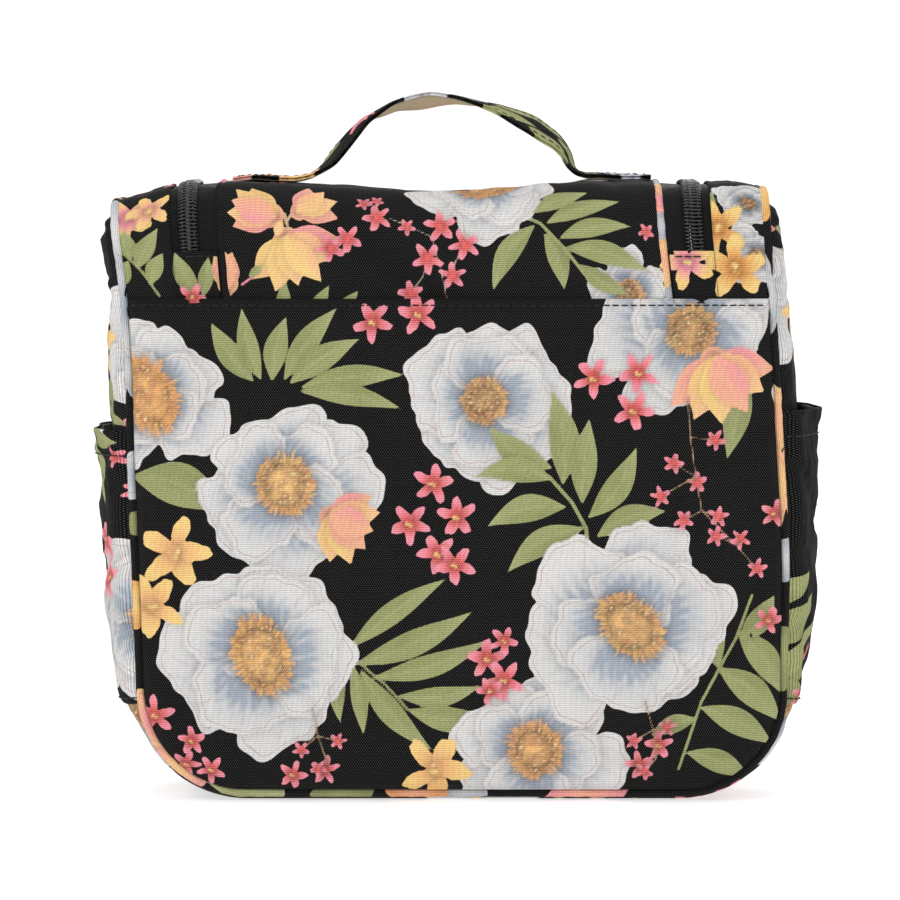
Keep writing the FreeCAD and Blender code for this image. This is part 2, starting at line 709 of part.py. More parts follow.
def side_pocket(side, name):
    """A slip pocket on one end: flat at its foot, standing off the gusset at its mouth."""
    body = start_body(f"side_pocket_{name}")
    face = SEAM_X + dim("gusset_proud") + 0.05
    half, sheet_thick = dim("pocket_half_depth"), CLOTH
    levels = (
        (dim("pocket_foot"), dim("pocket_bulge") * 0.25),
        (dim("pocket_belly"), dim("pocket_bulge")),
        (dim("pocket_top"), dim("pocket_bulge")),
    )

    def section(bulge, half_chord):
        """The space between the gusset and an arc that bulges outwards, seen from above."""
        radius_value = (bulge.value**2 + half_chord.value**2) / (2 * bulge.value)
        rise, run = bulge.text, half_chord.text
        text = f"(({rise} * {rise} + {run} * {run}) / (2 * {rise}))"
        radius = Size(radius_value, text)
        if side > 0:
            return [(face, -half_chord, radius), (face, half_chord)]
        return [(-face, half_chord, radius), (-face, -half_chord)]

    outside = [add_sketch(body, "XY_Plane", [section(bulge, half)], up) for up, bulge in levels]
    loft = body.newObject("PartDesign::AdditiveLoft", f"{body.Name}_loft")
    loft.Profile, loft.Sections, loft.Ruled = outside[0], outside[1:], True
    doc.recompute()
    hollow = [(up + (sheet_thick if i == 0 else 0), bulge) for i, (up, bulge) in enumerate(levels)]
    inside = [
        add_sketch(body, "XY_Plane", [section(bulge - sheet_thick, half - sheet_thick * 2.5)], up)
        for up, bulge in hollow
    ]
    cut = body.newObject("PartDesign::SubtractiveLoft", f"{body.Name}_hollow")
    cut.Profile, cut.Sections, cut.Ruled = inside[0], inside[1:], True
    doc.recompute()
    return body


def slip_pocket():
    """A pocket on the back's lining, open at its top, with an elastic band along its mouth."""
    wall = DEPTH - WALL
    half, thin = dim("slip_half_width"), dim("inner_sheet")
    deep, low, high = dim("slip_depth"), dim("slip_bottom"), dim("slip_top")
    shell = box("slip_blank", (-half, -wall, low), (half, deep - wall, high))
    inside = half - thin
    room = box("slip_room", (-inside, -wall - 1, low + thin), (inside, deep - wall - thin, high + 1))
    nodes.append(less("slip_pocket", shell, [room]))
    band_low, face = high - dim("band_height"), deep - wall + 0.02
    nodes.append(box("slip_pocket_band", (-inside, face, band_low), (inside, face + 0.9, high + 0.4)))
    nodes[-1].Label = "slip_pocket_band"


def mesh_pocket():
    """A zipped mesh pocket on the flap's lining."""
    wall = DEPTH - WALL
    half, thin, deep = dim("mesh_half_width"), dim("inner_sheet"), dim("mesh_depth")
    low, high, zip_z = dim("mesh_bottom"), dim("mesh_top"), dim("mesh_zip_height")
    zip_half = dim("mesh_zip_half_length")
    face = wall - deep
    blank = box("mesh_blank", (-half, face, low), (half, wall, high))
    room = box("mesh_room", (thin - half, face + thin, low + thin), (half - thin, wall + 1, high - thin))
    mouth = box("mesh_mouth", (-zip_half, face - 1, zip_z - 5.0), (zip_half, face + thin + 1, zip_z + 5.0))
    nodes.append(less("mesh_pocket", blank, [room, mouth]))
    scale = 0.7
    slot = dim("coil_gap") * (scale * 0.5)
    coil = dim("coil_width") * (scale * 0.5)
    tape_out, coil_out = face - 0.45, face - 1.5
    for name, reach, near, far in (("tape", 7.5, face, tape_out), ("coil", None, tape_out, coil_out)):
        spread = coil if reach is None else as_size(reach)
        strips = []
        for part, z_low, z_high in (("low", -spread, -slot), ("high", slot, spread)):
            a, b = (-zip_half - 1, far, zip_z + z_low), (zip_half + 1, near - 0.02, zip_z + z_high)
            strips.append(box(f"mesh_{name}_{part}", a, b))
        pair = doc.addObject("Part::Compound", f"mesh_pocket_{name}")
        pair.Label = f"mesh_pocket_{name}"
        pair.Links = strips
        nodes.append(pair)
    chain_face = face - 0.225
    slider("mesh", (-dim("mesh_slider_rest"), chain_face, zip_z), -1, -1, scale)


# --- the hook -----------------------------------------------------------------------------------------


def hook():
    """A cloth tab on the flap's lining, the metal ring in its loop, and the hook that swivels on it."""
    y, z, wall = dim("hook_pivot_y"), dim("hook_pivot_z"), DEPTH - WALL
    sleeve = cylinder("tab_sleeve", (0.0, y, z), 2.3, 18.0, "x")
    web = box("tab_web", (-9.0, y + 1.4, z - 0.8), (9.0, wall - 1.2, z + 0.8))
    root = box("tab_root", (-9.0, wall - 1.2, z - 7.0), (9.0, wall, z + 7.0))
    bore = cylinder("tab_bore", (0.0, y, z), 1.5, 40.0, "x")
    nodes.append(less("hook_tab", joined("tab_blank", [sleeve, web, root]), [bore]))

    rod = cylinder("ring_rod", (0.0, y, z), 1.2, 25.0, "x")
    rails = []
    for i, left in enumerate((-12.5, 10.1)):
        rails.append(box(f"ring_rail_{i}", (left, y - 1.2, z), (left + 2.4, y + 1.2, z + 10.0)))
    bridge = box("ring_bridge", (-12.5, y - 1.2, z + 7.6), (12.5, y + 1.2, z + 10.0))
    hub = cylinder("ring_hub", (0.0, y, z + 8.8), 3.4, 2.4, "z")
    bore = cylinder("ring_bore", (0.0, y, z + 8.8), 1.6, 6.0, "z")
    nodes.append(less("hook_ring", joined("ring_blank", [rod, *rails, bridge, hub]), [bore]))

    at = V(0, number("hook_pivot_y"), number("hook_pivot_z"))
    radius, wire = number("hook_radius"), number("hook_wire")
    centre = at + V(0, 0, 15.0 + radius)

    def on_arc(degrees):
        turn = math.radians(degrees)
        return centre + V(math.cos(turn), 0, math.sin(turn)) * radius

    start, tip = on_arc(-90), on_arc(165)
    spine = Part.Wire([Part.Arc(start, on_arc(30), tip).toShape()])
    ring = Part.Wire(Part.Circle(start, V(1, 0, 0), wire).toShape())
    crook = spine.makePipeShell([ring], True, False)
    others = [
        Part.makeSphere(wire * 1.15, tip),
        Part.makeSphere(wire * 1.25, start),
        Part.makeCylinder(wire, 5.0, at + V(0, 0, 11.0)),
        Part.makeCylinder(3.2, 2.4, at + V(0, 0, 10.6)),
        Part.makeCylinder(1.5, 8.0, at + V(0, 0, 5.2)),
        Part.makeCylinder(2.6, 1.6, at + V(0, 0, 5.2)),
    ]
    solid_feature("hook", crook.fuse(others).Solids[0])


# --- the whole bag --------------------------------------------------------------------------------------


def main():
    panels()
    zip_chain()
    zip_end_tabs()
    body_piping()
    flap_piping()
    handle()
    side_pocket(-1, "left")
    side_pocket(1, "right")
    slip_pocket()
    mesh_pocket()
    hook()
    chain_z = dim("flap_bottom") - dim("chain_centre")
    chain_y = DEPTH - dim("tape_depth") - dim("tape_thickness") * 0.5
    slider("left", (-dim("slider_rest"), chain_y, chain_z), 1, 1, 1.0)
    slider("right", (dim("slider_rest"), chain_y, chain_z), 1, -1, 1.0)
    doc.recompute()

    for thing in doc.Objects:
        if "Invalid" in thing.State or "Error" in thing.State:
            raise RuntimeError(f"{thing.Label} failed: {thing.State}")
    os.makedirs("parts", exist_ok=True)
    for old in os.listdir("parts"):
        os.remove(os.path.join("parts", old))
    for node in nodes:
        shape = node.Shape
        if shape.isNull() or not shape.isValid() or not shape.Solids:
            raise RuntimeError(f"{node.Label} has no valid solid")
        shape.exportStep(f"parts/{node.Label}.step")
        print(f"{node.Label}: {len(shape.Solids)} solid(s), {shape.Volume:.0f} mm3")
    print(len(nodes), "nodes")


main()
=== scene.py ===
"""The looks of a hanging toiletry bag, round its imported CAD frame. Lengths are in millimetres."""

import math

import bpy
import numpy as np
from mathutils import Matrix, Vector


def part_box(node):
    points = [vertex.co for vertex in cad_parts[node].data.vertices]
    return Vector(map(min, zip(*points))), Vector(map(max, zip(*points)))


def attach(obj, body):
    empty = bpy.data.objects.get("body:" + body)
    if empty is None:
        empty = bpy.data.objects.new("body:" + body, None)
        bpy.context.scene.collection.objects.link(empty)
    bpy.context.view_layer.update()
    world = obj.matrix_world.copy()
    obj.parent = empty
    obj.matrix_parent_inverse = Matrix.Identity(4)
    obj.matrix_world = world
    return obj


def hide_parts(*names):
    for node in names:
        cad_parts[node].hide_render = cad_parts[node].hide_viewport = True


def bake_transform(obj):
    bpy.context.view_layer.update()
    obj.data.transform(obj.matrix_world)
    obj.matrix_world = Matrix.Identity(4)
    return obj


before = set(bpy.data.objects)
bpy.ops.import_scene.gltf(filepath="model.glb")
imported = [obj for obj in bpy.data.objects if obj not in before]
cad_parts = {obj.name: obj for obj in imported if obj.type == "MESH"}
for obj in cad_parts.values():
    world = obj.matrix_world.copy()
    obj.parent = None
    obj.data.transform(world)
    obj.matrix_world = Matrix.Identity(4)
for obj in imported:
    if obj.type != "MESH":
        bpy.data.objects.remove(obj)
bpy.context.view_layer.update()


def low(node):
    return np.array(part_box(node)[0]) * 1000


def high(node):
    return np.array(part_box(node)[1]) * 1000


PIPE, FLAP_PIPE = 1.65, 1.5  # piping radii
FOLD, CORNER, FLAP_CORNER = 16.0, 38.0, 24.0  # rounding of the wrap, of the faces and of the flap
DEPTH = -low("back_panel")[1]
HEIGHT = high("top_panel")[2]
SEAM_Z = high("back_panel")[2]
SIDE = high("body_piping")[0] - PIPE
FOOT = low("body_piping")[2] + PIPE
FLAP = high("flap_piping")[0] - FLAP_PIPE
FLAP_FOOT = low("flap_piping")[2] + FLAP_PIPE
GUSSET = high("gusset_panel")[0]
TAB_Z = high("zip_end_tab_left")[2]
WALL = 4.3  # thickness of the padded wall


# --- camera and light -----------------------------------------------------------------------------

VIEW_WIDTH = 319.5  # width of the view at the face of the bag
AIM = np.array((-1.2, -DEPTH, 125.3))
DISTANCE, ELEVATION = 2200.0, math.radians(3.0)


def add_object(name, data):
    made = bpy.data.objects.new(name, data)
    bpy.context.scene.collection.objects.link(made)
    return made


def look(obj, at):
    direction = obj.location - type(obj.location)(at)
    obj.rotation_euler = direction.to_track_quat("Z", "Y").to_euler()


camera = add_object("camera", bpy.data.cameras.new("camera"))
camera.data.sensor_width = 36.0
camera.data.lens = 36.0 * DISTANCE / VIEW_WIDTH
away = np.array((0.0, -math.cos(ELEVATION), math.sin(ELEVATION)))
camera.location = (AIM + away * DISTANCE) / 1000
look(camera, AIM / 1000)
bpy.context.scene.camera = camera

for name, place, size, power in (
    ("key", (-1.1, -1.5, 1.5), 0.8, 17.0),
    ("fill", (1.3, -1.2, 0.7), 1.4, 4.0),
    ("top", (0.1, 0.3, 1.6), 1.3, 7.0),
    ("rear", (0.4, 1.6, 1.0), 1.3, 10.0),
):
    lamp = add_object(name, bpy.data.lights.new(name, "AREA"))
    lamp.data.size, lamp.data.energy = size, power
    lamp.location = place
    look(lamp, (0.0, 0.0, 0.12))

world = bpy.data.worlds.new("studio")
bpy.context.scene.world = world
world.use_nodes = True
world.node_tree.nodes["Background"].inputs["Color"].default_value = (1.0, 1.0, 1.0, 1.0)
world.node_tree.nodes["Background"].inputs["Strength"].default_value = 0.62
bpy.context.scene.view_settings.view_transform = "Standard"
bpy.context.scene.view_settings.look = "None"


# --- the printed cloth ----------------------------------------------------------------------------

WHITE, SHADE = (0.68, 0.665, 0.65), (0.33, 0.375, 0.44)
INK = (0.012, 0.012, 0.014)
LEAF, LEAF_DARK, LEAF_PALE = (0.31, 0.33, 0.125), (0.21, 0.235, 0.075), (0.47, 0.48, 0.24)
PINK, CORAL = (0.84, 0.27, 0.34), (0.78, 0.11, 0.10)
GOLD, AMBER, PEACH = (0.86, 0.58, 0.2), (0.72, 0.30, 0.06), (0.87, 0.40, 0.26)
HONEY = (0.82, 0.43, 0.17)
FAR = 9.0  # stands for a place that no motif is near


def mix(a, b, t):
    """Linear blend of two colours or arrays by t, one value per point."""
    t = np.clip(t, 0, 1)[..., None]
    return np.asarray(a) * (1 - t) + np.asarray(b) * t


def ease(low, high, x):
    t = np.clip((x - low) / (high - low), 0, 1)
    return t * t * (3 - 2 * t)


def bump(x, width):
    """A smooth bump of 1 at 0 that is gone at about twice its width."""
    return np.exp(-((x / width) ** 2))


def fade(x, reach):
    """Falls from 1 at an edge, and outside it, towards 0 within some reaches."""
    return np.exp(-np.maximum(x, 0) / reach)


def unit(vectors):
    return vectors / np.linalg.norm(vectors, axis=-1, keepdims=True)


def distances(path):
    """Way along a path of points from its first to each."""
    return np.concatenate([[0], np.cumsum(np.linalg.norm(np.diff(path, axis=0), axis=1))])


def sample(at, s, path):
    """Points of a path at distances along it."""
    return np.stack([np.interp(at, s, column) for column in path.T], -1)


def smoothed(path, times):
    for _ in range(times):
        path[1:-1] = (path[:-2] + 2 * path[1:-1] + path[2:]) / 4
    return path


def waves(coordinates, size, seed, count=7):
    """Smooth noise of about -1 to 1 at coordinates of points, with features about size across."""
    p = np.stack(np.broadcast_arrays(*coordinates), -1)
    r = np.random.default_rng(seed)
    total = 0.0
    for _ in range(count):
        d = r.normal(size=p.shape[-1])
        f = 2 * math.pi / size * r.uniform(0.6, 1.6) / np.linalg.norm(d)
        total = total + np.sin(p @ d * f + r.uniform(0, 6.3))
    return total / math.sqrt(count)


class Cloth:
    """A repeat of the print: colour, signed distance to the nearest motif's edge (negative inside), and
    depth inside the topmost petal, on a grid in millimetres."""

    def __init__(self, width, height, low=(0.0, 0.0), step=0.3):
        self.step, self.low = step, np.array(low)
        self.shape = (round(height / step), round(width / step))
        self.rgb = np.tile(np.array(INK), (*self.shape, 1))
        self.cover = np.full(self.shape, FAR)
        self.line = np.full(self.shape, FAR)
        self.shift = (0.0, 0.0)

    def window(self, x, z, reach):
        """Indices of the grid around a point, and the offsets from it."""
        x, z = x + self.shift[0] - self.low[0], z + self.shift[1] - self.low[1]
        spans = []
        for at, count in ((z, self.shape[0]), (x, self.shape[1])):
            span = min(math.ceil(2 * reach / self.step) + 1, count)
            i = math.floor(at / self.step - span / 2) + np.arange(span)
            spans.append((i % count, (i + 0.5) * self.step - at))
        return np.ix_(spans[0][0], spans[1][0]), np.meshgrid(spans[1][1], spans[0][1])

    def lay(self, at, s, colour, lined):
        """Prints a shape with signed distance s over what is there, which it shades a little."""
        cover, line, rgb = self.cover[at], self.line[at], self.rgb[at]
        rgb = rgb * (1 - 0.22 * fade(s, 1.1) * (cover < 0))[..., None]
        take = (s < 0) | ((s < 1.2) & (cover > 0) & (s < cover + 0.5))
        rgb[take] = np.broadcast_to(colour, rgb.shape)[take]
        self.line[at] = np.where(s < 0, -s if lined else FAR, line)
        self.cover[at] = np.minimum(cover, s)
        self.rgb[at] = rgb

    def petal(self, x, z, turn, out, long, wide, colour, seed, ruffle=0.06, lined=True):
        """An oval whose middle is out from (x, z) in the direction turn. colour is called with the distance
        from (x, z), the angle about it and the offset arrays."""
        reach = out + max(long, wide) * 1.3 + 2
        at, (dx, dz) = self.window(x, z, reach)
        c, n = math.cos(turn), math.sin(turn)
        a, b = dx * c + dz * n - out, dz * c - dx * n
        t = np.arctan2(b / wide, a / long)
        r = np.random.default_rng(seed)
        edge = 1.0
        for k in (2, 3, 5, 8, 13):
            edge = edge + ruffle * (1.4 / k) * 1.6 * np.sin(k * t + r.uniform(0, 6.3))
        rho = np.hypot(a / long, b / wide) / edge
        s = (rho - 1) * (long * wide / np.hypot(long * np.sin(t), wide * np.cos(t)))
        self.lay(at, s, colour(np.hypot(dx, dz), np.arctan2(dz, dx), a, b), lined)

    def strip(self, x0, z0, x1, z1, margin):
        """The grid round a straight line, its length, and the offsets from its middle along and across it."""
        length = math.hypot(x1 - x0, z1 - z0)
        at, (dx, dz) = self.window((x0 + x1) / 2, (z0 + z1) / 2, length / 2 + margin)
        c, n = (x1 - x0) / length, (z1 - z0) / length
        return at, length, dx * c + dz * n, dz * c - dx * n

    def blade(self, x0, z0, x1, z1, wide, bend=0.0, tone=0.0, tints=(LEAF, LEAF_DARK, LEAF_PALE)):
        """A slender leaf from its base to its tip."""
        at, length, a, b = self.strip(x0, z0, x1, z1, wide + 3)
        a = a / length + 0.5
        inside = np.clip(a, 0, 1)
        b = b - bend * length * (1 - (2 * inside - 1) ** 2)
        half = wide / 2 * np.sin(math.pi * inside**0.9) ** 1.15 + 0.3 * (1 - inside)
        s = np.hypot(np.maximum(np.abs(b) - half, 0), np.maximum(np.abs(a - 0.5) - 0.5, 0) * length)
        s = np.where((s == 0) & (a > 0) & (a < 1), np.abs(b) - half, s)
        streak = waves((a * length * 0.12, b), 1.6, int(abs(x1) * 9 + abs(z1)), 5)
        colour = mix(tints[0], tints[1], 0.45 * ease(-0.6, 0.8, b / wide * 2) + tone + 0.16 * streak)
        colour = mix(colour, tints[2], 0.3 * ease(0.55, 1, a) + 0.4 * (np.abs(b) < 0.22) * (a < 0.7))
        self.lay(at, s, colour, False)

    def blades(self, *leaves):
        for leaf in leaves:
            self.blade(*leaf)

    def stem(self, *points, wide=0.9, colour=LEAF):
        """A thin line through points."""
        for (x0, z0), (x1, z1) in zip(points, points[1:]):
            at, length, a, b = self.strip(x0, z0, x1, z1, 4)
            s = np.hypot(np.maximum(np.abs(a) - length / 2, 0), b) - wide / 2
            self.lay(at, s, np.array(colour), False)

    def dots(self, x, z, count, spread, size, colour, seed):
        r = np.random.default_rng(seed)
        for _ in range(count):
            turn, far = r.uniform(0, 6.3), math.sqrt(r.uniform(0.1, 1))
            px, pz = x + spread[0] * far * math.cos(turn), z + spread[1] * far * math.sin(turn)
            at, (dx, dz) = self.window(px, pz, size + 2)
            self.lay(
                at, np.hypot(dx, dz) - size * r.uniform(0.6, 1.2),
                mix(colour[0], colour[1], r.uniform(size=())), False,
            )

    def peony(self, x, z, size, heart=(0.33, 0.33), turn=0.0, seed=0, tint=(0.92, 0.56, 0.2)):
        """A large open flower: broad ruffled petals, blue-grey in their cups, about a stippled heart."""
        r = np.random.default_rng(seed)

        def petal_colour(long, wide, depth):
            lift, lean = r.uniform(-0.1, 0.12), r.uniform(-0.35, 0.35)

            def colour(far, angle, a, b):
                t, u = a / long, b / wide
                cup = bump(t + 0.25, 0.62) * bump(u - lean, 0.75) * depth
                cup = cup + 0.6 * np.exp(-(((far / size) - 0.38) / 0.14) ** 2)
                streak = 0.5 + 0.5 * np.sin(angle * 34 + 2.5 * np.sin(far * 0.35 + seed))
                cloud = waves((a, b * 2.2), 9, seed + 3)
                grey = cup * (0.6 + 0.4 * streak) * (1 + 0.3 * cloud) + lift
                rim = ease(0.62, 0.95, np.hypot(t, u))
                made = mix(WHITE, SHADE, grey * (1 - 0.75 * rim))
                vein = ease(0.965, 1.0, np.sin(angle * 11 + seed + 1.2 * np.sin(far * 0.2)))
                vein = vein * ease(0.9, 0.5, t)
                return mix(made, (0.5, 0.36, 0.36), 0.3 * vein)

            return colour

        rings = ((5, 0.56, 0.45, 0.53, 1.2, 0.14), (4, 0.42, 0.39, 0.45, 1.15, 0.12))
        for count, out, long, wide, depth, ruffle in rings:
            first = turn + r.uniform(0, 1)
            for i in r.permutation(count):
                angle = first + i * 2 * math.pi / count + r.uniform(-0.3, 0.3)
                grow = r.uniform(0.8, 1.12)
                a, b = long * size * grow, wide * size * r.uniform(0.85, 1.1)
                self.petal(
                    x, z, angle, out * size * grow, a, b, petal_colour(a, b, depth), int(r.integers(1e6)),
                    ruffle,
                )
        a, b = heart[0] * size, heart[1] * size

        def heart_colour(far, angle, u, v):
            speck = waves((u, v), 1.4, seed + 1, 9)
            spoke = np.sin(angle * 46 + 3 * np.sin(far * 0.9))
            made = mix(tint, (0.8, 0.34, 0.14), ease(0.2, 1.2, speck + 0.5 * spoke))
            return mix(made, (0.86, 0.58, 0.3), ease(0.5, 1.5, -speck - 0.4 * spoke))

        self.petal(x, z, turn, 0.0, a, b, heart_colour, seed + 5, 0.05, False)
        c, n = math.cos(turn), math.sin(turn)
        count = round(1.9 * size)
        for i in range(count):
            angle = i / count * 2 * math.pi + r.uniform(-0.05, 0.05)
            px, pz = a * math.cos(angle), b * math.sin(angle)
            ends = [
                (x + (px * c - pz * n) * k, z + (px * n + pz * c) * k) for k in (0.8, r.uniform(0.95, 1.22))
            ]
            self.stem(
                *ends, wide=r.uniform(0.5, 0.9),
                colour=mix(tint, (0.76, 0.32, 0.14), r.uniform(0, 0.8, size=())),
            )
        for _ in range(round(2.7 * size)):
            angle, far = r.uniform(0, 6.3), math.sqrt(r.uniform(0, 0.8))
            px, pz = a * far * math.cos(angle), b * far * math.sin(angle)
            at, (dx, dz) = self.window(x + px * c - pz * n, z + px * n + pz * c, 1.5)
            dot = mix((0.7, 0.24, 0.1), (0.9, 0.68, 0.38), r.uniform(0, 1, size=()))
            self.lay(at, np.hypot(dx, dz * r.uniform(0.6, 1.6)) - r.uniform(0.25, 0.5), dot, False)

    def flower(self, x, z, size, petals=5, rim=PINK, middle=CORAL, seed=0, turn=None, heart=GOLD, fan=None):
        """A small flower, or with fan, in radians, a half-open one that faces turn."""
        r = np.random.default_rng(seed + int(abs(x) * 7 + abs(z) * 13))
        first = r.uniform(0, 6.3) if turn is None else turn
        spread = 2 * math.pi / petals if fan is None else fan / max(petals - 1, 1)
        start = first if fan is None else first - fan / 2

        def colour(far, angle, a, b):
            t = far / size
            streak = 0.5 + 0.5 * np.sin(angle * 17 + 3 * np.sin(t * 5))
            return mix(middle, rim, ease(0.1, 0.85, t) - 0.3 * streak * (t < 0.75))

        for i in r.permutation(petals):
            angle = start + i * spread + r.uniform(-0.12, 0.12)
            wide = size * (r.uniform(0.21, 0.27) if fan is None and size < 9 else r.uniform(0.24, 0.3))
            self.petal(x, z, angle, size * 0.56, size * 0.5, wide, colour, int(r.integers(1e6)), 0.09, False)
        if fan is None:
            self.petal(x, z, 0, 0, size * 0.2, size * 0.2, colour, seed, 0.1, False)
        if heart and fan is None:
            self.dots(x, z, 3, (size * 0.12, size * 0.12), size * 0.08, (heart, heart), seed)

    def stars(self, size, *places):
        for x, z in places:
            self.flower(x, z, size)

    def tulip(self, x, z, size, turn, count=5, fan=1.5, seed=0):
        """A cup-shaped flower of pointed petals that opens from its base in the direction turn."""
        r = np.random.default_rng(seed)
        tints = (GOLD, PEACH, (0.88, 0.6, 0.3)), ((0.84, 0.42, 0.24), PINK, GOLD)
        self.petal(x, z, turn, size * 0.2, size * 0.3, size * 0.24,
                   lambda far, angle, a, b: mix(PEACH, GOLD, ease(0, size * 0.5, far)), seed, 0.05)
        order = sorted(range(count), key=lambda i: -abs(i - (count - 1) / 2))
        for i in order:
            share = i / max(count - 1, 1) - 0.5
            angle, reach = turn + fan * share, size * r.uniform(0.9, 1.08) * (1 - 0.2 * share * share)
            c, n = math.cos(angle), math.sin(angle)
            foot = size * 0.05
            self.blade(
                x + foot * c, z + foot * n, x + reach * c, z + reach * n, size * r.uniform(0.46, 0.56),
                -0.16 * share, r.uniform(-0.05, 0.3), tints[int(r.uniform() < 0.35)],
            )

    def sprig(self, points, blooms, size=3.6):
        """A thin branching stem with small star flowers at its tips."""
        self.stem(*points, wide=0.6, colour=(0.34, 0.22, 0.12))
        line = np.array(points)
        for x, z in blooms:
            near = line[np.argmin(np.hypot(line[:, 0] - x, line[:, 1] - z))]
            self.stem(tuple(near), (x, z), wide=0.5, colour=(0.34, 0.22, 0.12))
            self.flower(x, z, size, rim=PINK, middle=CORAL, heart=None)

    def main_design(self, dx=0.0, dz=0.0):
        """The large repeat: peonies, leaf sprays, and small flowers between them."""
        self.shift = (dx, dz)
        # leaves behind the flowers
        for x, z, wide in (
            (-82, 171, 8), (-71, 176, 7), (-55, 173, 8), (-37, 176, 8), (-29, 165, 8.5), (-13, 152, 8),
            (-14, 140, 7),
        ):
            self.blade(-60 + (x + 54) * 0.25, 147 + (z - 146) * 0.12, x, z, wide, 0.05)
        self.stem((-38, 57), (-34, 54), (-27, 48), (-20, 42), (-12, 33), wide=0.9)
        self.blades(
            (-32.5, 55.5, 1.8, 80.2, 7.5, 0.03), (-30.4, 49.6, 11, 68.5, 9, -0.04),
            (-24.5, 44.7, 16.5, 58.4, 8, -0.06), (-15.3, 38, 14, 42, 7, -0.08),
            (-12, 33, 19.5, 31, 8.5, -0.08), (-28.7, 47.2, -3.2, 18.6, 8, -0.06),
            (-31.6, 48.8, -27.9, 23.8, 5.5, 0.02), (-36, 50.5, -36, 28.3, 5.5, -0.06),
        )
        self.blade(-110, 116, -76, 103, 15, 0.1, 0.1)
        self.stem((84, 12), (92, 36), (104, 58), (110, 74), wide=1.0)
        self.blades(
            (105, 61, 121, 38, 10, 0.08), (98, 48, 121, 28, 10, 0.06), (92, 34, 118, 20, 9, 0.06),
            (87, 18, 110, 8, 8, 0.06), (98, 48, 97, 72, 8, 0.06), (106, 58, 118, 74, 8, -0.06),
            (90, 30, 74, 24, 6, -0.06),
        )
        self.blade(108, 152, 101, 122, 9)
        # peonies
        self.peony(-104, 145, 29, (0.32, 0.45), 0.4, 11, (0.9, 0.46, 0.14))
        self.peony(88, 168, 32, (0.25, 0.25), 0.2, 12)
        self.peony(15, 143, 29.5, (0.25, 0.25), 0.9, 13)
        # a leaf spray over the edge of the middle peony
        self.stem((28.6, 121.8), (38, 116), (46, 107), (51, 98), (52, 88), wide=1.3)
        self.blades(
            (42.8, 113.5, 38.7, 146.6, 10.5, -0.07), (49.6, 106.8, 52.3, 136.9, 9, 0.02),
            (52, 101.7, 69, 126.8, 9, -0.08), (38.7, 119.2, 16.5, 134.2, 9.5, 0.1),
            (38.7, 115.1, 11.9, 116, 9, -0.12), (43.7, 105.4, 15.9, 98.4, 9.5, -0.1),
            (50, 98, 23, 82, 9, -0.1), (52, 90, 34, 72, 8, -0.06), (55, 95, 79.7, 103.8, 8.5, 0.1),
        )
        self.peony(-55.7, 113, 32, (0.3, 0.32), 0.1, 14)
        self.peony(33, 19, 30, (0.29, 0.31), 0.5, 15, (0.9, 0.5, 0.17))
        self.peony(66.7, 63, 37, (0.25, 0.33), 0.8, 16)
        self.peony(-64, 52.5, 37.5, (0.25, 0.36), 0.3, 17, (0.92, 0.54, 0.18))
        # yellow flowers
        self.tulip(-41, 103, 20, -0.55, 6, 1.9, 3)
        self.tulip(96, 160, 24, -1.25, 6, 2.0, 4)
        self.flower(-95, 89, 12.5, 5, GOLD, HONEY, 5)
        self.flower(-103, 70, 11, 5, GOLD, HONEY, 6)
        self.flower(-2.5, 12, 12, 5, GOLD, HONEY, 7)
        # pink flowers
        self.stars(7.0, (-24.5, 171), (-8.5, 173.6), (53.6, 151), (69.6, 153), (67.8, 139.5), (-3.2, 113.6),
                   (-11.4, 99.4), (5.3, 102), (-1.4, 88.8), (4.6, 85), (-102, 31), (16, 51.5), (22, 44))
        self.stars(
            5.0, (-91, 13.5), (-82, 11.7), (-89, 22), (-53, 10), (-41.5, 11.7), (22, 58), (17, 40),
            (70, 13.5), (77, 20.6), (118, 103), (116, 65), (-118, 50), (-116, 118),
        )
        self.sprig(
            ((87, 143), (88, 130), (90, 116), (92, 104), (104, 92), (112, 83)),
            (
                (97, 129), (82, 120.7), (90.5, 114), (77.4, 109), (85.6, 100.5), (98, 102), (97, 95),
                (105.8, 94), (111.8, 83.4),
            ),
        )
        self.sprig(((-46, 34), (-44, 24), (-41, 15)), ((-50, 19), (-37, 22), (-44, 12)), 3.0)
        self.sprig(((72, 36), (75, 26), (76, 16)), ((68, 22), (80, 27), (72, 11)), 3.0)

    def at(self, x, z):
        """Colour, cover and line at points, between the grid's cells."""
        fx, fz = (x - self.low[0]) / self.step - 0.5, (z - self.low[1]) / self.step - 0.5
        ix, iz = np.floor(fx).astype(int), np.floor(fz).astype(int)
        tx, tz = fx - ix, fz - iz
        rows, cols = self.shape
        out = []
        for field in (self.rgb, self.cover, self.line):
            def pick(a, b):
                return field[(iz + a) % rows, (ix + b) % cols]
            sx, sz = (tx[..., None], tz[..., None]) if field.ndim == 3 else (tx, tz)
            first, second = (pick(row, 0) * (1 - sx) + pick(row, 1) * sx for row in (0, 1))
            out.append(first * (1 - sz) + second * sz)
        return out


# --- shape of the soft bag ------------------------------------------------------------------------

FLAT = DEPTH - FOLD  # half of the flat of the top
FACE = FLAT + FOLD * math.pi / 2  # way along the wrap from the middle of the top to a face
KNEE = HEIGHT - FOLD


def along(z, side=-1):
    """Way along the wrap of a height on the back (side -1) or the front (side 1)."""
    return side * (FACE + KNEE - np.asarray(z, float))


def inset(x, z, half, foot, radius):
    """How far points lie inside a U-shaped outline with rounded bottom corners."""
    qx, qz = np.abs(x) - (half - radius), foot + radius - z
    out = np.hypot(np.maximum(qx, 0), np.maximum(qz, 0)) + np.minimum(np.maximum(qx, qz), 0)
    return radius - out


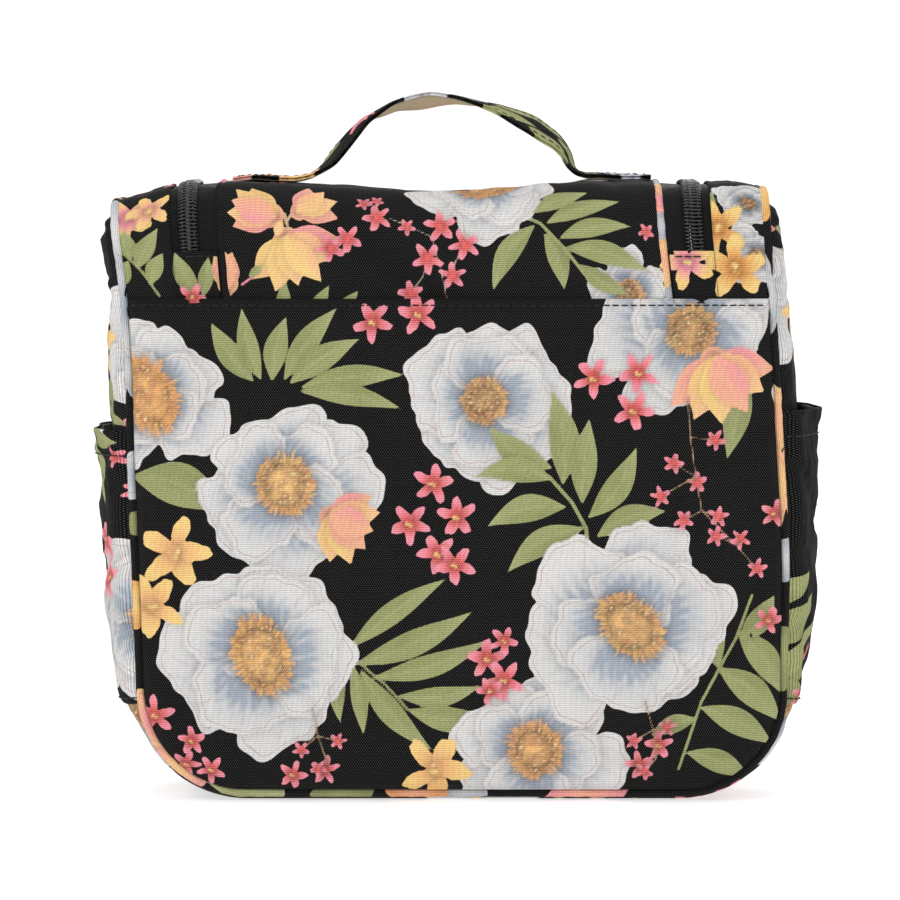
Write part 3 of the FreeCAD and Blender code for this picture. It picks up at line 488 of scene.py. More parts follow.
class Creases:
    """How far a slack panel of cloth stands off the foam behind it: a grid left by the cloth simulation."""

    def __init__(self, low, high):
        self.low, self.high = np.array(low, float), np.array(high, float)
        self.off = np.zeros((2, 2))

    def at(self, x, z):
        rows, cols = self.off.shape
        fx = np.clip((x - self.low[0]) / (self.high[0] - self.low[0]), 0, 1) * (cols - 1)
        fz = np.clip((z - self.low[1]) / (self.high[1] - self.low[1]), 0, 1) * (rows - 1)
        i, j = np.minimum(fz.astype(int), rows - 2), np.minimum(fx.astype(int), cols - 2)
        tz, tx = ease(0, 1, fz - i), ease(0, 1, fx - j)
        low = self.off[i, j] * (1 - tx) + self.off[i, j + 1] * tx
        high = self.off[i + 1, j] * (1 - tx) + self.off[i + 1, j + 1] * tx
        return low * (1 - tz) + high * tz

    def simulate(self, free, spare, seed, cell=4.0, frames=34):
        """Hangs a pinned panel, cut a little too large, in front of a foam board, and keeps how it wrinkles.
        free tells where the cloth isn't sewn down. spare is how much too large it is, of its size."""
        width, height = self.high - self.low
        x, z = np.meshgrid(*(np.linspace(0, size, round(size / cell) + 1) for size in (width, height)))
        y = -0.6 - 0.5 * waves((x, z), 34, seed)
        mesh = bpy.data.meshes.new("panel")
        mesh.from_pydata((np.stack([x, y, z], -1).reshape(-1, 3) / 1000).tolist(), [], grid_faces(*x.shape))
        cloth = add_object("panel", mesh)
        sewn = ~free(x + self.low[0], z + self.low[1]).ravel()
        cloth.vertex_groups.new(name="sewn").add(np.flatnonzero(sewn).tolist(), 1.0, "REPLACE")
        board_mesh = bpy.data.meshes.new("foam_board")
        margin, clearance = 0.02, 0.0006
        (left, right), (foot, top) = ((-margin, size / 1000 + margin) for size in (width, height))
        corners = [(x, clearance, z) for x, z in ((left, foot), (right, foot), (right, top), (left, top))]
        board_mesh.from_pydata(corners, [], [(0, 1, 2, 3)])
        foam = add_object("foam_board", board_mesh)
        foam.modifiers.new("foam", "COLLISION")
        foam.collision.thickness_outer = 0.0004
        solver = cloth.modifiers.new("cloth", "CLOTH")
        fabric = {
            "quality": 7, "mass": 0.12, "tension_stiffness": 30, "compression_stiffness": 30,
            "shear_stiffness": 12, "bending_stiffness": 0.35, "vertex_group_mass": "sewn",
            "shrink_min": -spare,
        }
        for key, value in fabric.items():
            setattr(solver.settings, key, value)
        solver.collision_settings.distance_min = clearance
        solver.point_cache.frame_start, solver.point_cache.frame_end = 1, frames
        scene = bpy.context.scene
        for frame_number in range(1, frames + 1):
            scene.frame_set(frame_number)
        hung = cloth.evaluated_get(bpy.context.evaluated_depsgraph_get()).data
        places = np.empty(len(hung.vertices) * 3)
        hung.vertices.foreach_get("co", places)
        off = -(places.reshape(-1, 3)[:, 1].reshape(x.shape) * 1000)
        deepest, highest = -1.2, 3.5
        off = np.clip(off, deepest, highest) * free(x + self.low[0], z + self.low[1])
        self.off = off - 0.4 * off.mean()
        for gone in (cloth, foam):
            bpy.data.objects.remove(gone)
        scene.frame_set(1)


def free_of(half, foot, radius, top):
    """Tells where a panel's cloth isn't sewn down: 2 mm inside its outline, and below its top."""
    return lambda x, z: (inset(x, z, half - 2, foot + 2, radius - 2) > 0) & (z <= top)


def free_end(y, z):
    return (np.abs(y) < 39) & (z > 4) & (z < HEIGHT - 5)


END_HALF = 41.4  # half of the width of an end's panel
PANELS = {  # the corners of each slack panel, where it is free, how much too large it is cut, and its seed
    "back": ((-SIDE, FOOT), (SIDE, SEAM_Z), free_of(SIDE, FOOT, CORNER, SEAM_Z - 3), 0.022, 5),
    "flap": ((-FLAP, FLAP_FOOT), (FLAP, KNEE), free_of(FLAP, FLAP_FOOT, FLAP_CORNER, KNEE - 2), 0.018, 6),
    "left": ((-END_HALF, 0), (END_HALF, HEIGHT), free_end, 0.02, 7),
    "right": ((-END_HALF, 0), (END_HALF, HEIGHT), free_end, 0.024, 8),
}
creases = {name: Creases(*corners) for name, (*corners, _, _, _) in PANELS.items()}


def pillow(x, v):
    """How far the padded wrap stands off its flat shape."""
    z = KNEE + FACE - np.abs(v)
    body = inset(x, z, SIDE, FOOT, CORNER)
    back = v < 0
    flap_out = np.where(back, np.abs(x) - FLAP, -inset(x, z, FLAP, FLAP_FOOT, FLAP_CORNER))
    on_face = 1 - ease(178, 208, z)
    rise = 4.2 * (1 - fade(body, 20)) * on_face * back * (1 - 0.25 * ease(120, 175, z))
    rise = rise + 4.5 * (1 - fade(-flap_out, 16)) * on_face * ~back
    top = ease(KNEE - 4, KNEE + FACE - 20, z)
    rise = rise - 4.4 * bump(x - 1, 32) * top
    rise = rise - 1.1 * bump(z - SEAM_Z, 9) * back
    dent = (x + 20) * 0.62 + (z - 192) * 0.78
    rise = rise - 2.7 * bump(dent, 4.2) * bump(x + 18, 24) * back * (z > SEAM_Z)
    calm = 1 - fade(body, 9)
    chain = 1 - 0.85 * bump(flap_out - 11, 9)
    rise = rise + calm * chain * (0.8 * waves((x, v), 75, 3) + 0.28 * waves((x, v), 26, 4))
    rise = rise - 0.9 * np.exp(-np.abs(body) / 2.4) - 0.7 * np.exp(-np.abs(flap_out) / 2.2)
    edge = fade(body, 5) + 0.7 * np.exp(-np.abs(flap_out) / 4)
    edge = edge + 0.9 * np.exp(-np.abs(z - SEAM_Z) / 4) * back
    slack = np.where(back, creases["back"].at(x, z), creases["flap"].at(x, z)) * on_face
    return rise + slack + 0.22 * edge * waves((x, v), 10, 5)


# how far the bag leans in x at some heights
LEAN_AT = (0, 20, 36, 54, 72, 107, 143, 179, 212, 260)
LEAN_BY = (3.5, 3.5, 3.4, 3.0, 2.6, 1.5, 0.3, -2.0, -4.6, -5.0)


def settle(p):
    """The bag's slight lean, and the shoulder that droops on its left."""
    x, z = p[..., 0], p[..., 2]
    lean = sum(np.interp(z + d, LEAN_AT, LEAN_BY) for d in (-12, -6, 0, 6, 12)) / 5
    droop = 6.0 * ease(86, 119, -x) * ease(186, 214, z) + 1.6 * ease(104, 118, x) * ease(200, 216, z)
    sway = 0.5 * waves((x, p[..., 1], z), 90, 8)
    return p + np.stack([lean + sway * ease(10, 40, z), 0 * x, -droop], -1)


def wrap(x, v, h=0.0):
    """Points of the wrap, h off its cloth: x across, v along it from the middle of the top, back negative."""
    x, v, h = np.broadcast_arrays(x, v, h)
    a, side = np.abs(v), np.where(v < 0, -1.0, 1.0)
    turn = np.clip((a - FLAT) / FOLD, 0, math.pi / 2)
    ny, nz = side * np.sin(turn), np.cos(turn)
    h = h + pillow(x, v)
    y = side * (np.minimum(a, FLAT) + FOLD * np.sin(turn)) + ny * h
    z = KNEE + FOLD * np.cos(turn) - np.maximum(a - FACE, 0) + nz * h
    return settle(np.stack([x, y, z], -1))


TOP_R, HALF_FLAT = 13.4, 28.0  # rounding of the gusset's top, and half of what is flat across it there
LEG = HEIGHT - 2.6 - (CORNER + 3)  # straight part of the gusset's side
TURN = CORNER + GUSSET - SIDE
BEND = TURN * math.pi / 2
BASE = 2 * (GUSSET - TURN)
GIRTH = 2 * (LEG + BEND) + BASE


def gusset(t, y, h=0.0):
    """Points of the gusset: t along it from the top left, down, under the base and up, and y across it."""
    t, y, h = np.broadcast_arrays(t, y, h)
    s = np.minimum(t, GIRTH - t)
    side = np.where(t < GIRTH / 2, -1.0, 1.0)
    turn = np.clip((s - LEG) / TURN, 0, math.pi / 2)
    nx, nz = side * np.cos(turn), -np.sin(turn)
    x = side * (GUSSET - TURN - np.maximum(s - LEG - BEND, 0)) + nx * TURN
    z = TURN + np.maximum(LEG - s, 0) + nz * TURN
    qy, qz = np.abs(y) - HALF_FLAT, z - KNEE
    edge = TOP_R - np.hypot(np.maximum(qy, 0), np.maximum(qz, 0)) - np.minimum(np.maximum(qy, qz), 0)
    belly = np.interp(z, (0, 30, 60, 100, 160, 200, 217), (0, 0.6, 2.4, 3.6, 3.2, 1.4, 0.4))
    h = h - 2.5 * (1 - ease(0, 8, edge)) + belly * (1 - (y / 42) ** 2)
    h = h + ease(3, 30, z) * ease(0, 14, edge) * (0.7 * waves((t, y), 60, 9) + 0.3 * waves((t, y), 24, 10))
    h = h + 0.25 * fade(edge, 5) * waves((t, y), 10, 11) * ease(2, 8, z)
    h = h + np.where(side < 0, creases["left"].at(y, z), creases["right"].at(y, z)) * ease(20, 45, z)
    return settle(np.stack([x + nx * h, y, z + nz * h], -1))


# --- meshes ---------------------------------------------------------------------------------------

materials = {}


def piece(name, verts, faces, material, body, replaces=(), slot="printed_cloth", fields=None):
    """A smooth mesh from points in millimetres, that rides on a body, or, given a pair of bodies, stays where
    it is.
    """
    mesh = bpy.data.meshes.new(name)
    mesh.from_pydata((np.asarray(verts) / 1000).tolist(), [], faces)
    mesh.polygons.foreach_set("use_smooth", np.ones(len(mesh.polygons), bool))
    for key, values in (fields or {}).items():
        values = np.asarray(values, np.float32)
        if values.ndim == 1:
            mesh.attributes.new(key, "FLOAT", "POINT").data.foreach_set("value", values)
        else:
            mesh.attributes.new(key, "FLOAT_VECTOR", "POINT").data.foreach_set("vector", values.ravel())
    mesh.materials.append(materials[material])
    mesh.update()
    made = add_object(name, mesh)
    if isinstance(body, str):
        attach(made, body)
    else:
        first, second, start, end = body
        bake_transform(made)
    if replaces:
        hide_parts(*replaces)
    return made


def grid_faces(rows, cols, first=0, flip=False):
    """Quads of a grid of points, rows by cols."""
    i, j = np.meshgrid(np.arange(rows - 1), np.arange(cols - 1), indexing="ij")
    a, b = i * cols + j, (i + 1) * cols + j
    quads = np.stack([a, a + 1, b + 1, b], -1).reshape(-1, 4) + first
    return (quads[:, ::-1] if flip else quads).tolist()


def slab(u, v, h, place, depth):
    """Points, faces and cloth coordinates of a closed sheet: its outer side at h, and its inner side, with
    fewer columns, depth below."""
    rows, cols = u.shape
    keep = np.unique(np.linspace(0, cols - 1, max(cols // 6, 2)).round().astype(int))
    n, count = len(keep), rows * cols
    outer = place(u, v, h).reshape(-1, 3)
    inner = place(u[:, keep], v[:, keep], h[:, keep] - depth).reshape(-1, 3)
    faces = grid_faces(rows, cols, flip=True) + grid_faces(rows, n, count)
    for i in range(rows - 1):
        a, b, c, d = i * cols, (i + 1) * cols, count + i * n, count + (i + 1) * n
        faces.append([a, b, d, c])
        faces.append([b + cols - 1, a + cols - 1, c + n - 1, d + n - 1])
    end, last = (rows - 1) * cols, count + (rows - 1) * n
    faces.append([*range(cols), *range(count + n - 1, count - 1, -1)])
    faces.append([*range(end + cols - 1, end - 1, -1), *range(last, last + n)])
    coords = np.stack([u, v, h], -1)
    return np.concatenate([outer, inner]), faces, np.concatenate(
        [coords.reshape(-1, 3), coords[:, keep].reshape(-1, 3)]
    )


def printed(coords, cloth, turn=0.0, at=(0.0, 0.0), outer=None):
    """The print's fields at cloth coordinates, turned and moved onto a repeat. Points past outer are bare."""
    u, v = coords[:, 0], coords[:, 1]
    c, s = math.cos(turn), math.sin(turn)
    rgb, cover, line = cloth.at(u * c - v * s + at[0], u * s + v * c + at[1])
    if outer:
        cover[outer:] = FAR
    return {"print": rgb, "cover": cover, "line": line, "cloth": coords}


def tube_faces(rows, sides, closed=False):
    """Quads round a tube of rings of points, with caps unless it is closed."""
    i, j = np.meshgrid(np.arange(rows if closed else rows - 1), np.arange(sides), indexing="ij")
    a, b, k = i * sides, (i + 1) % rows * sides, (j + 1) % sides
    faces = np.stack([a + j, a + k, b + k, b + j], -1).reshape(-1, 4).tolist()
    ends = [] if closed else [list(range(sides))[::-1], list(range((rows - 1) * sides, rows * sides))]
    return faces + ends


def tube(path, radius, sides, out, closed=False):
    """Points, faces and coordinates of a tube along a path. out, a direction off the path, sets its twist."""
    path = np.asarray(path, float)
    ahead = np.roll(path, -1, 0) if closed else np.concatenate([path[1:], path[-1:] * 2 - path[-2:-1]])
    behind = np.roll(path, 1, 0) if closed else np.concatenate([path[:1] * 2 - path[1:2], path[:-1]])
    way = unit(ahead - behind)
    side = unit(np.cross(way, out))
    up = np.cross(side, way)
    turn = np.arange(sides) / sides * 2 * math.pi
    radius = np.broadcast_to(radius, len(path))[:, None, None]
    ring = side[:, None] * np.cos(turn)[None, :, None] + up[:, None] * np.sin(turn)[None, :, None]
    verts = path[:, None] + ring * radius
    coords = np.stack(np.broadcast_arrays(distances(path)[:, None], turn * float(radius[0, 0, 0]), 0.0), -1)
    return verts.reshape(-1, 3), tube_faces(len(path), sides, closed), coords.reshape(-1, 3)


def merged(parts):
    """Several (points, faces, coordinates) as one."""
    verts, faces, coords, count = [], [], [], 0
    for v, f, c in parts:
        verts.append(v)
        coords.append(c)
        faces += [[k + count for k in face] for face in f]
        count += len(v)
    return np.concatenate(verts), faces, np.concatenate(coords)


def resample(path, step):
    """The same line with points an even step apart."""
    path = np.asarray(path, float)
    s = distances(path)
    return sample(np.linspace(0, s[-1], max(int(round(s[-1] / step)), 2) + 1), s, path)


STITCH, STITCH_GAP, THREAD = 2.7, 0.55, 0.27  # length of a stitch, gap between two, and radius of the thread


def stitches(path, out):
    """Short rounded threads along a line of points, each sunk at its ends."""
    s, out = distances(path), np.broadcast_to(out, path.shape)
    shape = np.linspace(-1, 1, 7)
    parts = []
    for start in np.arange(0, s[-1] - STITCH, STITCH + STITCH_GAP):
        at = start + STITCH * (shape + 1) / 2
        up = sample(at, s, out)
        line = sample(at, s, path) + up * (0.32 - 0.62 * shape[:, None] ** 4)
        parts.append(tube(line, THREAD * (1 - 0.45 * shape**6), 6, up))
    return merged(parts)


# --- materials ------------------------------------------------------------------------------------


class Nodes:
    """A new material's node tree, with short calls to add nodes and join them."""

    def __init__(self, name, roughness, **sockets):
        self.material = bpy.data.materials.new(name)
        self.material.use_nodes = True
        self.tree = self.material.node_tree
        self.shader = self.tree.nodes["Principled BSDF"]
        self.shader.inputs["Roughness"].default_value = roughness
        for key, value in sockets.items():
            self.shader.inputs[key.replace("_", " ")].default_value = value
        materials[name] = self.material

    def add(self, kind, inputs=(), **settings):
        node = self.tree.nodes.new("ShaderNode" + kind)
        for key, value in settings.items():
            setattr(node, key, value)
        for key, value in dict(inputs).items():
            socket = node.inputs[key]
            if isinstance(value, bpy.types.NodeSocket):
                self.tree.links.new(value, socket)
            else:
                socket.default_value = value
        return node.outputs[0]

    def math(self, operation, a, b=0.0, c=0.0):
        return self.add("Math", {0: a, 1: b, 2: c}, operation=operation)

    def field(self, name, part=2):
        node = self.add("Attribute", attribute_name=name).node
        return node.outputs[("Color", "Vector", "Fac").index(part) if isinstance(part, str) else part]

    def ramp(self, value, low, high, start=0.0, end=1.0):
        return self.add(
            "MapRange",
            {"Value": value, "From Min": low, "From Max": high, "To Min": start, "To Max": end},
            interpolation_type="SMOOTHSTEP",
        )

    def blend(self, share, a, b, kind="MIX"):
        node = self.add("Mix", {0: share}, data_type="RGBA", blend_type=kind).node
        for key, value in ((6, a), (7, b)):
            if isinstance(value, bpy.types.NodeSocket):
                self.tree.links.new(value, node.inputs[key])
            else:
                node.inputs[key].default_value = (*value, 1.0)
        return node.outputs[2]

    def toned(self, colour, tone):
        """A colour times a grey tone."""
        return self.blend(1.0, colour, self.add("CombineColor", {0: tone, 1: tone, 2: tone}), "MULTIPLY")

    def noise(self, vector, scale, detail=2.0):
        return self.add("TexNoise", {"Vector": vector, "Scale": scale, "Detail": detail})

    def finish(self, colour, height=None, depth=0.1, roughness=None):
        self.tree.links.new(colour, self.shader.inputs["Base Color"])
        if height is not None:
            bump = self.add("Bump", {"Height": height, "Distance": depth / 1000, "Strength": 1.0})
            self.tree.links.new(bump, self.shader.inputs["Normal"])
        if roughness is not None:
            self.tree.links.new(roughness, self.shader.inputs["Roughness"])


def yarns(n, pitch_u, pitch_v):
    """Cloth coordinates, the rounded tops of a plain weave's yarns, and the staggered gaps between them."""
    coords = n.field("cloth", "Vector")
    wobble = n.add("TexNoise", {"Vector": coords, "Scale": 0.35, "Detail": 1.0}).node.outputs["Color"]
    centred = n.add("VectorMath", {0: wobble, 1: (0.5, 0.5, 0.5)}, operation="SUBTRACT")
    moved = n.add("VectorMath", {0: centred, 1: (0.35, 0.35, 0.0), 2: coords}, operation="MULTIPLY_ADD")
    split = n.add("SeparateXYZ", {0: moved}).node.outputs
    across = n.math("SINE", n.math("MULTIPLY", split[0], math.pi / pitch_u))
    down = n.math("SINE", n.math("MULTIPLY", split[1], math.pi / pitch_v))
    checker = n.math("MULTIPLY", across, down)
    tops = n.math("POWER", n.math("ABSOLUTE", checker), 0.6)
    return coords, tops, checker


def printed_cloth():
    n = Nodes("printed_cloth", 0.8, Specular_IOR_Level=0.07, Sheen_Weight=0.0)
    coords, tops, checker = yarns(n, 0.43, 0.65)
    gaps = n.ramp(checker, 0.3, 0.85)
    slub = n.noise(coords, 1.1, 3.0)
    patch = n.noise(coords, 0.05, 2.0)
    fuzz = n.math("MULTIPLY_ADD", n.math("SUBTRACT", slub, 0.5), 0.35, n.field("cover"))
    motif = n.ramp(fuzz, 0.16, -0.16)
    inset_line = n.math(
        "ABSOLUTE",
        n.math("SUBTRACT", n.field("line"), n.math("MULTIPLY_ADD", n.noise(coords, 0.12), 3.4, 0.1)),
    )
    line = n.ramp(inset_line, 0.26, 0.05, 0.0, 0.55)
    rim = n.ramp(n.field("line"), 0.3, 0.02, 0.0, 0.3)
    line = n.math("MULTIPLY", n.math("MAXIMUM", line, rim), n.ramp(n.field("cover"), -0.3, -0.9))
    # black print: grey where the yarns part, partly pale yarn showing through and partly painted glints on
    # the weave
    black = n.blend(n.math("MULTIPLY", gaps, 0.62), (0.001, 0.001, 0.0012), (0.1, 0.097, 0.094))
    ink = n.blend(line, n.field("print", "Color"), (0.42, 0.2, 0.17))
    ink = n.blend(n.math("MULTIPLY", gaps, 0.2), ink, (0.9, 0.89, 0.86))
    # painted shade in the hollows between the yarns and painted highlight on their tops, multiplied into the
    # print's colour
    painted_yarn_shading = n.ramp(tops, 0.0, 0.8, 0.3, 1.16)
    colour = n.blend(motif, black, n.toned(ink, painted_yarn_shading))
    tone = n.math("MULTIPLY_ADD", slub, 0.24, n.math("MULTIPLY_ADD", patch, 0.16, 0.82))
    n.finish(n.toned(colour, tone), tops, 0.1, n.ramp(slub, 0.2, 0.8, 0.72, 0.9))


def plain_cloth(name, colour, pitch, roughness=0.8, ribs=False, contrast=0.5, depth=0.06, **sockets):
    """A plain woven cloth, or with ribs a herringbone tape or knitted band."""
    n = Nodes(name, roughness, **sockets)
    coords, tops, checker = yarns(n, pitch, pitch * 1.2)
    if ribs:
        split = n.add("SeparateXYZ", {0: coords}).node.outputs
        zigzag = n.math("PINGPONG", split[1], pitch * 3)
        way = n.math("MULTIPLY", split[0], 2 * math.pi / pitch)
        tops = n.math("SINE", n.math("MULTIPLY_ADD", zigzag, 1.6 / pitch * 2, way))
        tops = n.ramp(tops, -1.0, 1.0)
    # painted light and shade: the yarns' tops lighter and the hollows between them darker, by contrast
    shade = tuple(c * (1 - contrast) for c in colour)
    lit = tuple(min(c * (1 + contrast) + 0.004, 1.0) for c in colour)
    made = n.blend(tops, shade, lit)
    tone = n.math("MULTIPLY_ADD", n.noise(coords, 0.6, 3.0), 0.4, 0.8)
    n.finish(n.toned(made, tone), tops, depth)


def solid_material(name, colour, roughness, wear=0.15, scale=300.0, bump=0.0, **sockets):
    """Moulded or plated stuff: one colour, a little uneven in tone and gloss."""
    n = Nodes(name, roughness, **sockets)
    coords = n.add("TexCoord").node.outputs["Object"]
    cloud = n.noise(coords, scale, 4.0)
    made = n.blend(
        n.ramp(cloud, 0.35, 0.75), tuple(c * (1 - wear) for c in colour),
        tuple(min(c * (1 + wear), 1) for c in colour)
    )
    n.finish(
        made, cloud if bump else None, bump,
        n.ramp(cloud, 0.3, 0.7, max(roughness - 0.08, 0.02), roughness + 0.1),
    )


printed_cloth()
plain_cloth("lining", (0.02, 0.02, 0.022), 0.3, 0.5, contrast=0.5, depth=0.03, Specular_IOR_Level=0.3)
plain_cloth("inner_cloth", (0.015, 0.015, 0.0165), 0.45, 0.6, contrast=0.5, Specular_IOR_Level=0.3)
plain_cloth(
    "zip_tape", (0.0045, 0.0045, 0.0048), 0.62, 0.65, ribs=True, contrast=0.8, depth=0.14,
    Specular_IOR_Level=0.12,
)
plain_cloth(
    "elastic", (0.016, 0.016, 0.018), 0.9, 0.8, ribs=True, contrast=0.6, depth=0.15, Specular_IOR_Level=0.3,
)
plain_cloth("webbing", (0.62, 0.5, 0.33), 0.55, 0.85, contrast=0.18)
solid_material("thread", (0.008, 0.008, 0.0085), 0.6, 0.3, 900.0, Sheen_Weight=0.05, Specular_IOR_Level=0.25)
solid_material("coil", (0.005, 0.005, 0.0055), 0.24, 0.2, 500.0, Specular_IOR_Level=0.55)
solid_material(
    "black_metal", (0.01, 0.01, 0.011), 0.3, 0.25, 250.0, 0.01, Specular_IOR_Level=0.5, Coat_Weight=0.15,
)
solid_material("nickel", (0.5, 0.49, 0.475), 0.24, 0.1, 220.0, Metallic=1.0)
solid_material("net", (0.018, 0.018, 0.02), 0.6, 0.2, 700.0)
plain_cloth(
    "strap", (0.012, 0.012, 0.013), 1.1, 0.7, ribs=True, contrast=0.7, depth=0.2, Specular_IOR_Level=0.25,
)


# --- helpers on the wrap --------------------------------------------------------------------------

UNROLL = FACE + KNEE  # way along the wrap plus this is the height on the back
FLAP_TURN = FLAP - FLAP_CORNER
RUN = float(along(FLAP_FOOT + FLAP_CORNER, 1))
ZIP_TOP = float(along(SEAM_Z, -1))
CHAIN = 11.5  # middle of the zip outside the flap's outline
ZIP_LEG = RUN - ZIP_TOP
ZIP_ARC = (FLAP_CORNER + CHAIN) * math.pi / 2
ZIP_LENGTH = 2 * (ZIP_LEG + ZIP_ARC + FLAP_TURN)
STEP = 0.72  # of the visible cloth's grid


def zip_line(p, d):
    """Cloth points p along the zip from its left end on the back, d outside the flap's outline."""
    p, d = np.broadcast_arrays(p, d)
    q, side = np.minimum(p, ZIP_LENGTH - p), np.where(p < ZIP_LENGTH / 2, -1.0, 1.0)
    turn = np.clip((q - ZIP_LEG) / ZIP_ARC, 0, 1) * math.pi / 2
    reach = FLAP_CORNER + d
    x = side * (FLAP_TURN - np.maximum(q - ZIP_LEG - ZIP_ARC, 0) + reach * np.cos(turn))
    return x, ZIP_TOP + np.minimum(q, ZIP_LEG) + reach * np.sin(turn)


def face_grid(top, half, foot, radius, step):
    """Rows of x and z that fill a U-shaped outline from its top down."""
    turn = np.arange(0, math.pi / 2, step / radius)
    z = np.concatenate([np.arange(top, foot + radius, -step), foot + radius * (1 - np.sin(turn)), [foot]])
    drop = np.maximum(foot + radius - z, 0) / radius
    reach = half - radius + radius * np.sqrt(np.maximum(1 - drop**2, 0))
    s = np.linspace(-1, 1, 2 * round(half / step) + 1)
    return reach[:, None] * s, np.broadcast_to(z[:, None], (len(z), len(s)))


def oriented(verts, faces, place, u, v, h):
    """The faces, turned if the first doesn't look outward."""
    out = (place(u, v, h + 1) - place(u, v, h))[0, 0]
    cols = u.shape[1]
    a, b, c = verts[0], verts[1], verts[cols]
    return faces if np.dot(np.cross(c - a, b - a), out) > 0 else [f[::-1] for f in faces]


def cloth_slab(u, v, h, place, depth):
    h = np.broadcast_to(np.asarray(h, float), u.shape)
    verts, faces, coords = slab(u, v, h, place, depth)
    return verts, oriented(verts, faces, place, u, v, h), coords


def sheet(name, u, v, h, place, depth, material, body, replaces=(), slot=None):
    """A piece made of one sheet of plain stuff."""
    verts, faces, coords = cloth_slab(u, v, h, place, depth)
    made = piece(name, verts, faces, material, body, replaces, slot or material, {"cloth": coords})


def printed_sheet(name, u, v, h, place, body, replaces, cloth, at, turn=0.0, depth=0.8):
    """A piece made of one sheet of cloth that is printed on its outer side."""
    verts, faces, coords = cloth_slab(u, v, h, place, depth)
    fields = printed(coords, cloth, turn, at, u.size)
    made = piece(name, verts, faces, "printed_cloth", body, replaces, fields=fields)


def stitched(name, lines, body, slot):
    """A piece made of lines of stitches."""
    verts, faces, coords = merged(lines)
    piece(name, verts, faces, "thread", body, slot=slot)


def thread(place, u, v, h):
    """Stitches along a line on a surface."""
    line = resample(np.stack(np.broadcast_arrays(u, v, h), -1).astype(float), 0.5)
    path = place(*line.T)
    return stitches(path, place(line[:, 0], line[:, 1], line[:, 2] + 1) - path)


def line(*points):
    """The u and v of a path through corners, in cloth coordinates."""
    path = np.concatenate([resample(pair, 0.5) for pair in zip(points, points[1:])])
    return path[:, 0], path[:, 1]


# --- the cloth settles ----------------------------------------------------------------------------

for name, (_, _, free, spare, seed) in PANELS.items():
    creases[name].simulate(free, spare, seed)


# --- the print's repeats --------------------------------------------------------------------------

board = Cloth(252, 270, (-126, -20))
board.main_design()
upper = Cloth(252, 480, (-126, 175))
upper.main_design(0, 242)
upper.main_design(20, 430)
upper.shift = (0, 0)
# behind: a white flower at the lower right, and leaves that rise from the seam
upper.peony(68.5, 181, 15, (0.3, 0.3), 1.3, 22)
upper.blades(
    (-55, 170, -52.5, 186, 5, 0.0), (-46, 170, -37, 184, 5, 0.0), (-38, 170, -27, 182, 5, 0.0),
    (36.5, 210, 57, 219.5, 5, 0.05), (40.7, 206, 68.5, 214.5, 6.6, 0.06), (45, 200.5, 71.5, 204.5, 6.6, 0.08),
    (46.6, 197, 76, 188.4, 8, 0.08), (51, 191, 68, 180.5, 6.5, -0.05), (39.5, 202, 45, 182, 7, 0.08),
    (36, 205, 20, 181.5, 7.4, -0.1), (33, 208, 8.8, 204, 5, 0.08),
)
upper.stem((31, 209), (38, 206), (46, 197), (54, 186), wide=1.2)
upper.peony(20, 226, 26, (0.42, 0.3), 0.3, 21, (0.8, 0.4, 0.12))
upper.blade(36.5, 210, 57, 219.5, 6.5, 0.05)
# yellow flowers on their stem
upper.stem((-51, 209), (-50, 204), (-49, 200), wide=1.0, colour=(0.72, 0.5, 0.3))
upper.stem((-48, 210), (-50.5, 206), wide=0.8, colour=(0.72, 0.5, 0.3))
upper.stem((-56, 193), (-62, 188), (-68, 184), wide=0.8, colour=PINK)
upper.tulip(-53.5, 207.5, 19.0, 2.75, 5, 1.15, 3)
upper.tulip(-47.5, 209.5, 15.5, 0.55, 4, 1.35, 4)
upper.tulip(-52, 202, 21.0, -1.15, 6, 2.1, 6)
upper.tulip(-72.8, 181.5, 15, 1.65, 3, 0.5, 7)
upper.petal(
    -53.3, 204, 1.2, 0, 2.8, 1.6, lambda far, angle, a, b: mix(GOLD, PINK, 0.2 + 0 * far), 9, 0.05, False,
)
upper.blade(-65, 187, -60, 191, 2.6, 0.0)
# stars
upper.stem((3.8, 179), (2.1, 191), (-0.4, 201), (-7, 204.4), (-14, 207.4), wide=0.5, colour=(0.45, 0.4, 0.3))
upper.stem((4.8, 186), (8, 193), (11, 198), wide=0.5, colour=(0.45, 0.4, 0.3))
upper.stem((-8.8, 180.8), (-4, 187), (-2, 193), wide=0.5, colour=(0.45, 0.4, 0.3))
for x, z, size in (
    (-18.6, 207.7, 5), (-23, 214, 3), (-18.5, 215, 2.6), (-8.5, 204.4, 3), (2.9, 204.6, 5.5), (11, 198, 5.2),
    (-2.1, 193.4, 5.5), (6.3, 187.2, 4.6), (-8.8, 180.8, 4.6), (-35.5, 196.8, 5), (-29.3, 200.2, 5),
    (76.5, 202.7, 3),
):
    upper.flower(x, z, size, heart=None)
# over the ends of the zips, and the strips beside them
upper.flower(-107, 213, 10, 5, GOLD, PINK, 31)
upper.flower(-99, 214, 8, 5, GOLD, PEACH, 32)
upper.stem((-108, 195), (-103, 188), (-98, 180), wide=1.0)
upper.blades(
    (-107, 194, -108, 208, 7, 0.05), (-105, 190, -96, 206, 7, 0.05), (-108, 193, -116, 182, 7, 0.05),
    (-101, 184, -95, 196, 6, 0.05), (-84, 180, -91, 196, 7, 0.06), (-82, 180, -79, 194, 5, 0.0),
    (98, 200, 101, 219, 9, 0.1),
)
upper.flower(-86, 179.5, 5, seed=33)
upper.peony(113, 214, 11, (0.2, 0.2), 1.0, 34)
upper.peony(115, 194, 11, (0.2, 0.2), 2.0, 35)
upper.flower(102, 204, 10, 5, GOLD, AMBER, 36)
upper.flower(107, 190, 11, 5, GOLD, AMBER, 37)
upper.flower(90, 192, 9.5, 5, GOLD, PINK, 38)


# --- back -----------------------------------------------------------------------------------------

